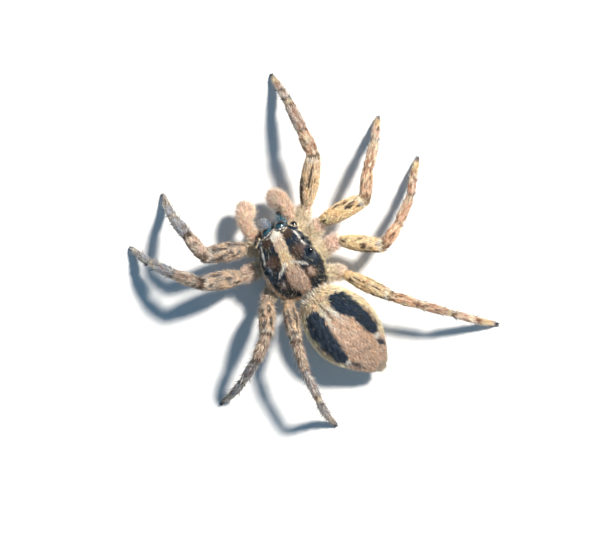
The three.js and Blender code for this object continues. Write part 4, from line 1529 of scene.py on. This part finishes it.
# %% Coat the legs
LONG_HAIR = {  # mm
    "right_leg_1": 0.24, "right_leg_2": 0.24, "right_leg_3": 0.28, "right_leg_4": 0.28,
    "left_leg_1": 0.28, "left_leg_2": 0.28, "left_leg_3": 0.4, "left_leg_4": 0.4,
}
for leg in LEGS:
    names = [f"{leg}_{segment}" for segment in SEGMENTS]
    pile = roots_on(names, 0.048)
    brown = 0.25 * MOTTLING[leg] ** 2
    colours = mixed(mixed(pelt(pile), "ivory", 0.3, 0.5), "chestnut", brown, 0.7)
    short = hairs(
        pile, length=0.19, width=0.026, rise=14 * DEGREE, curl=0.08, flat=0.5, colours=colours)

    long = roots_on(names, 0.13, lambda r: r["points"][:, 2] > 0.25)  # none where the foot stands
    colours = mixed(mixed(pelt(long), "ivory", 0.5, 0.7), "umber", 0.3 * MOTTLING[leg], 0.8)
    guard = hairs(
        long, length=LONG_HAIR[leg], width=0.018, rise=38 * DEGREE, curl=0.18, spread=0.3,
        colours=colours, **GUARD)

    pad = roots_on(names[-1:], 0.03, lambda r: r["share"] > 0.92)
    colours = mixed(np.tile(PAINT["claw"], (len(pad["points"]), 1)), "soot", 0.4, 0.7)
    tuft = hairs(
        pad, length=0.12, width=0.018, rise=22 * DEGREE, spread=0.35, flat=0.7, colours=colours)

    hip = roots_on(names[:1], 0.048, lambda r: r["points"][:, 2] > 0.8)
    colours = mixed(mixed(pelt(hip), "ivory", 0.45, 0.6), "russet", 0.12, 0.4)
    fluff = hairs(
        hip, length=0.38, width=0.024, rise=55 * DEGREE, curl=0.15, spread=0.5, colours=colours,
        **GUARD)
    sew(f"coat_{leg}", [short, guard, tuft, fluff], "tan_hair")

# %% [markdown]
# The palps are thick with soft hair, like bottle brushes: a dense pile with long fine hair all
# through it. The sternum has only a thin nap.

# %% Coat the palps and the sternum
batches = []
for side in ("right", "left"):
    names = [f"palp_{side}_arm", f"palp_{side}_club"]
    pile = roots_on(names, 0.036)
    colours = mixed(mixed(pelt(pile), "ivory", 0.3, 0.5), "chestnut", 0.06, 0.5)
    batches.append(hairs(
        pile, length=0.23, width=0.021, rise=34 * DEGREE, curl=0.12, spread=0.4, flat=0.5,
        colours=colours))
    long = roots_on(names, 0.05)
    colours = mixed(mixed(pelt(long), "ivory", 0.5, 0.7), "russet", 0.1, 0.5)
    batches.append(hairs(
        long, length=0.38, width=0.015, rise=52 * DEGREE, curl=0.15, spread=0.5, colours=colours,
        **GUARD))
sew("coat_palps", batches, "palp_hair")

under = roots_on(["sternum"], 0.08)
colours = mixed(pelt(under), "ivory", 0.4, 0.5)
thin = hairs(under, length=0.18, width=0.02, rise=18 * DEGREE, spread=0.3, colours=colours)
sew("coat_sternum", [thin], "sternum_skin")

# %% [markdown]
# ## Hair on the jaws
# The jaws are nearly bare: thin grey and white hairs lie down their fronts, so the sheen shows
# between them.

# %% Coat the jaws
batches = []
for number, (points, normals, triangles) in enumerate(jaws.values()):
    places, outward, _ = scatter(points, normals, triangles, 0.12)
    jaw_line = points[[points[:, 2].argmax(), points[:, 2].argmin()]]
    share, angle, forward, _ = around_line(jaw_line, places)
    reading = {
        "points": places, "normals": outward, "part": np.full(len(places), number),
        "share": share, "angle": angle,
    }
    colours = mixed(np.tile(PAINT["ivory"], (len(places), 1)), "stone", 0.5, 0.9)
    batches.append(hairs(
        reading, length=0.22, width=0.02, rise=16 * DEGREE, spread=0.3, flat=0.6, lie=forward,
        colours=colours))
sew("coat_jaws", batches, "chelicera")

# %% [markdown]
# ## Fringes round the eyes and over the jaws
# White hairs ring the two great eyes like lashes, and the smaller eyes have short ones, cream in
# front and dark behind. A white beard hangs from the face over the jaws. Lashes grow from the rims of
# the eye mounts, so their roots are set out round each lens, and they lean the way the eye looks.

# %% Lashes
LASHES = {  # paint and length
    "anterior_median": ("ivory", 0.16), "anterior_lateral": ("cream", 0.2),
    "posterior_median": ("soot", 0.08), "posterior_lateral": ("soot", 0.12),
}
LASHES_PER_MM = 600  # of the lens's radius
batches = []
for (kind, side), (middle, radius) in eyes.items():
    count = int(LASHES_PER_MM * radius)
    facing = np.tile(eye_facing[kind, side], (count, 1))
    turn = chance.uniform(0, 2 * math.pi, count)
    across = unit(np.cross(UP, eye_facing[kind, side]))
    over_it = np.cross(eye_facing[kind, side], across)
    out = np.outer(np.cos(turn), across) + np.outer(np.sin(turn), over_it)
    roots = middle + out * radius * chance.uniform(1.04, 1.12, (count, 1)) - facing * radius * 0.3
    part = np.full(count, FLESH.index("carapace"))
    reading = read_skin(roots, out, part)
    paint, long = LASHES[kind]
    colours = mixed(np.tile(PAINT[paint], (count, 1)), "fawn", 0.35, 0.7)
    batches.append(hairs(
        reading, length=long, width=0.016, rise=26 * DEGREE, curl=0.05, spread=0.45, flat=0.6,
        lie=facing, colours=colours))
print("lashes:", sum(len(batch["points"]) // (2 + 3 * len(SCALE)) for batch in batches))

# %% Beard
def on_the_lip(reading):
    """The strip of face just above the jaws."""
    left, behind, up = in_head(reading["points"]).T
    return (behind < 0.0) & (up > 1.3) & (up < 1.72) & (np.abs(left) < 1.0)


lip = roots_on(["carapace"], 0.05, on_the_lip)
colours = mixed(np.tile(PAINT["ivory"], (len(lip["points"]), 1)), "fawn", 0.4, 0.5)
batches.append(hairs(
    lip, length=0.42, width=0.022, rise=46 * DEGREE, curl=0.2, spread=0.35, colours=colours,
    **GUARD))
sew("coat_face", batches, "carapace_hair")

# %% [markdown]
# ## Spines and claws
# Stout dark spines stand on shins and feet, and help to pin prey. Two small hooked claws end each
# foot. Both are solid chitin, so they are strands with more rings and a rounder section.

# %% Where spines stand
skin_tree = BVHTree.FromPolygons(
    [Vector(p) for p in skin_points], [tuple(t) for t in skin_triangles.tolist()])
SPINES = {"tibia": (0.3, 0.72), "foot": (0.12, 0.42)}  # the shares along a piece with a ring of them
SPINE_TURNS = (-2.3, -1.2, 1.2, 2.3)  # radians round the leg from its top
roots, normals, lie = [], [], []
for leg in LEGS:
    for segment, shares in SPINES.items():
        line = lines[f"{leg}_{segment}"]
        for share in shares:
            step = share * (len(line) - 1)
            base = int(step)
            centre = line[base] + (line[base + 1] - line[base]) * (step - base)
            forward = unit(line[base + 1] - line[base])
            top = unit(UP - forward * forward[2])
            side = np.cross(forward, top)
            for angle in SPINE_TURNS:
                out = side * math.sin(angle) + top * math.cos(angle)
                hit = skin_tree.ray_cast(Vector(centre), Vector(out), 0.8)
                if hit[0] is not None:
                    roots.append(np.array(hit[0]))
                    normals.append(out)
                    lie.append(forward)
roots, normals, lie = np.array(roots), np.array(normals), np.array(lie)
SPIKE = [(0.02, 1.0), (0.35, 0.9), (0.7, 0.55)]  # the taper of a spine
spines = strands(
    roots, normals, lie, length=0.36, width=0.034, depth=0.034, rise=48 * DEGREE, curl=0.2,
    stations=SPIKE, sides=5)
print("spines:", len(roots))

# %% Claws
roots, normals, lie = [], [], []
for leg in LEGS:
    line = lines[f"{leg}_foot"]
    forward = unit(line[-1] - line[-2])
    side = unit(np.cross(forward, UP))
    top = np.cross(side, forward)
    for hand in (-1, 1):
        roots.append(line[-1] - forward * 0.1 + side * 0.04 * hand + top * 0.03)
        normals.append(top)
        lie.append(unit(forward + side * 0.2 * hand))
roots, normals, lie = np.array(roots), np.array(normals), np.array(lie)
claws = strands(
    roots, normals, lie, length=0.2, width=0.05, depth=0.05, rise=25 * DEGREE, curl=0.65,
    stations=HORN, sides=8)
print("claws:", len(roots))

# %% Their horn
# thick brown chitin: nearly black, with a narrow highlight
horn, tree, shader = new_material("dark_chitin", {"Roughness": 0.3, "IOR": CHITIN_IOR})
tree.links.new(ramp(tree, clouds(tree, 0.125), "soot", "umber"), shader.inputs["Base Color"])
for name, (points, triangles, _, _) in (("spines", spines), ("claws", claws)):
    points[:, 2] = np.maximum(points[:, 2], FLOOR_GAP)
    place(name, mesh_of(name, points, triangles), horn, "tan_hair")

# %% [markdown]
# ## Floor, light and camera
# One soft sun stands high to one side, and a pale blue sky fills its shadows. The camera looks
# straight down through a long lens from a quarter of a metre away, so near and far parts keep their
# true sizes.

# %% Floor
sheet = bmesh.new()
bmesh.ops.create_grid(sheet, x_segments=8, y_segments=8, size=0.5)
floor = bpy.data.objects.new("floor", as_mesh(sheet, "floor"))
bpy.context.scene.collection.objects.link(floor)
# matt paper: no highlight, so that nothing but the shadow shows on it
paper, tree, shader = new_material("matt_paper", {"Roughness": 0.9, "Specular IOR Level": 0.1})
FIBRE = 0.3  # mm, the clumps of paper fibre
whites = ramp(tree, clouds(tree, FIBRE, detail=3), "#f0f3f6", "#f7f8fa")
tree.links.new(whites, shader.inputs["Base Color"])
floor.data.materials.append(paper)
print("floor:", [round(v / MM) for v in floor.dimensions], "mm")

# %% Light
scene = bpy.context.scene
scene.view_settings.view_transform = "Standard"
world = bpy.data.worlds.new("sky")
scene.world = world
world.use_nodes = True
sky = world.node_tree.nodes["Background"]
sky.inputs["Color"].default_value = rgba("#96c7eb")
sky.inputs["Strength"].default_value = 0.3

sun = bpy.data.objects.new("sun", bpy.data.lights.new("sun", "SUN"))
sun.data.energy = 5.9
sun.data.color = linear("#fff6ea")
sun.data.angle = math.radians(9)
SUN_HEIGHT = math.radians(49)
SUN_FROM = Vector((-0.97, -0.24, math.tan(SUN_HEIGHT)))
sun.rotation_euler = SUN_FROM.to_track_quat("Z", "Y").to_euler()
scene.collection.objects.link(sun)
print("sun", round(math.degrees(SUN_HEIGHT)), "degrees up, strength", round(sun.data.energy, 1))

# %% Camera
camera = bpy.data.objects.new("camera", bpy.data.cameras.new("camera"))
camera.data.sensor_width = 36
camera.data.lens = 298
camera.data.clip_start = 0.01
camera.data.clip_end = 5
LOOK_AT = Vector((0.453, 0.882, 0)) * MM
CAMERA_HEIGHT = 250 * MM
picture_right = Vector((-0.885, 0.465, 0)).normalized()
picture_up = Vector((-0.465, -0.885, 0)).normalized()
camera.matrix_world = Matrix.Translation(LOOK_AT + Vector((0, 0, CAMERA_HEIGHT))) @ Matrix(
    (picture_right, picture_up, Vector((0, 0, 1)))).transposed().to_4x4()
scene.collection.objects.link(camera)
scene.camera = camera
print("camera", [round(v / MM, 2) for v in camera.matrix_world.translation])
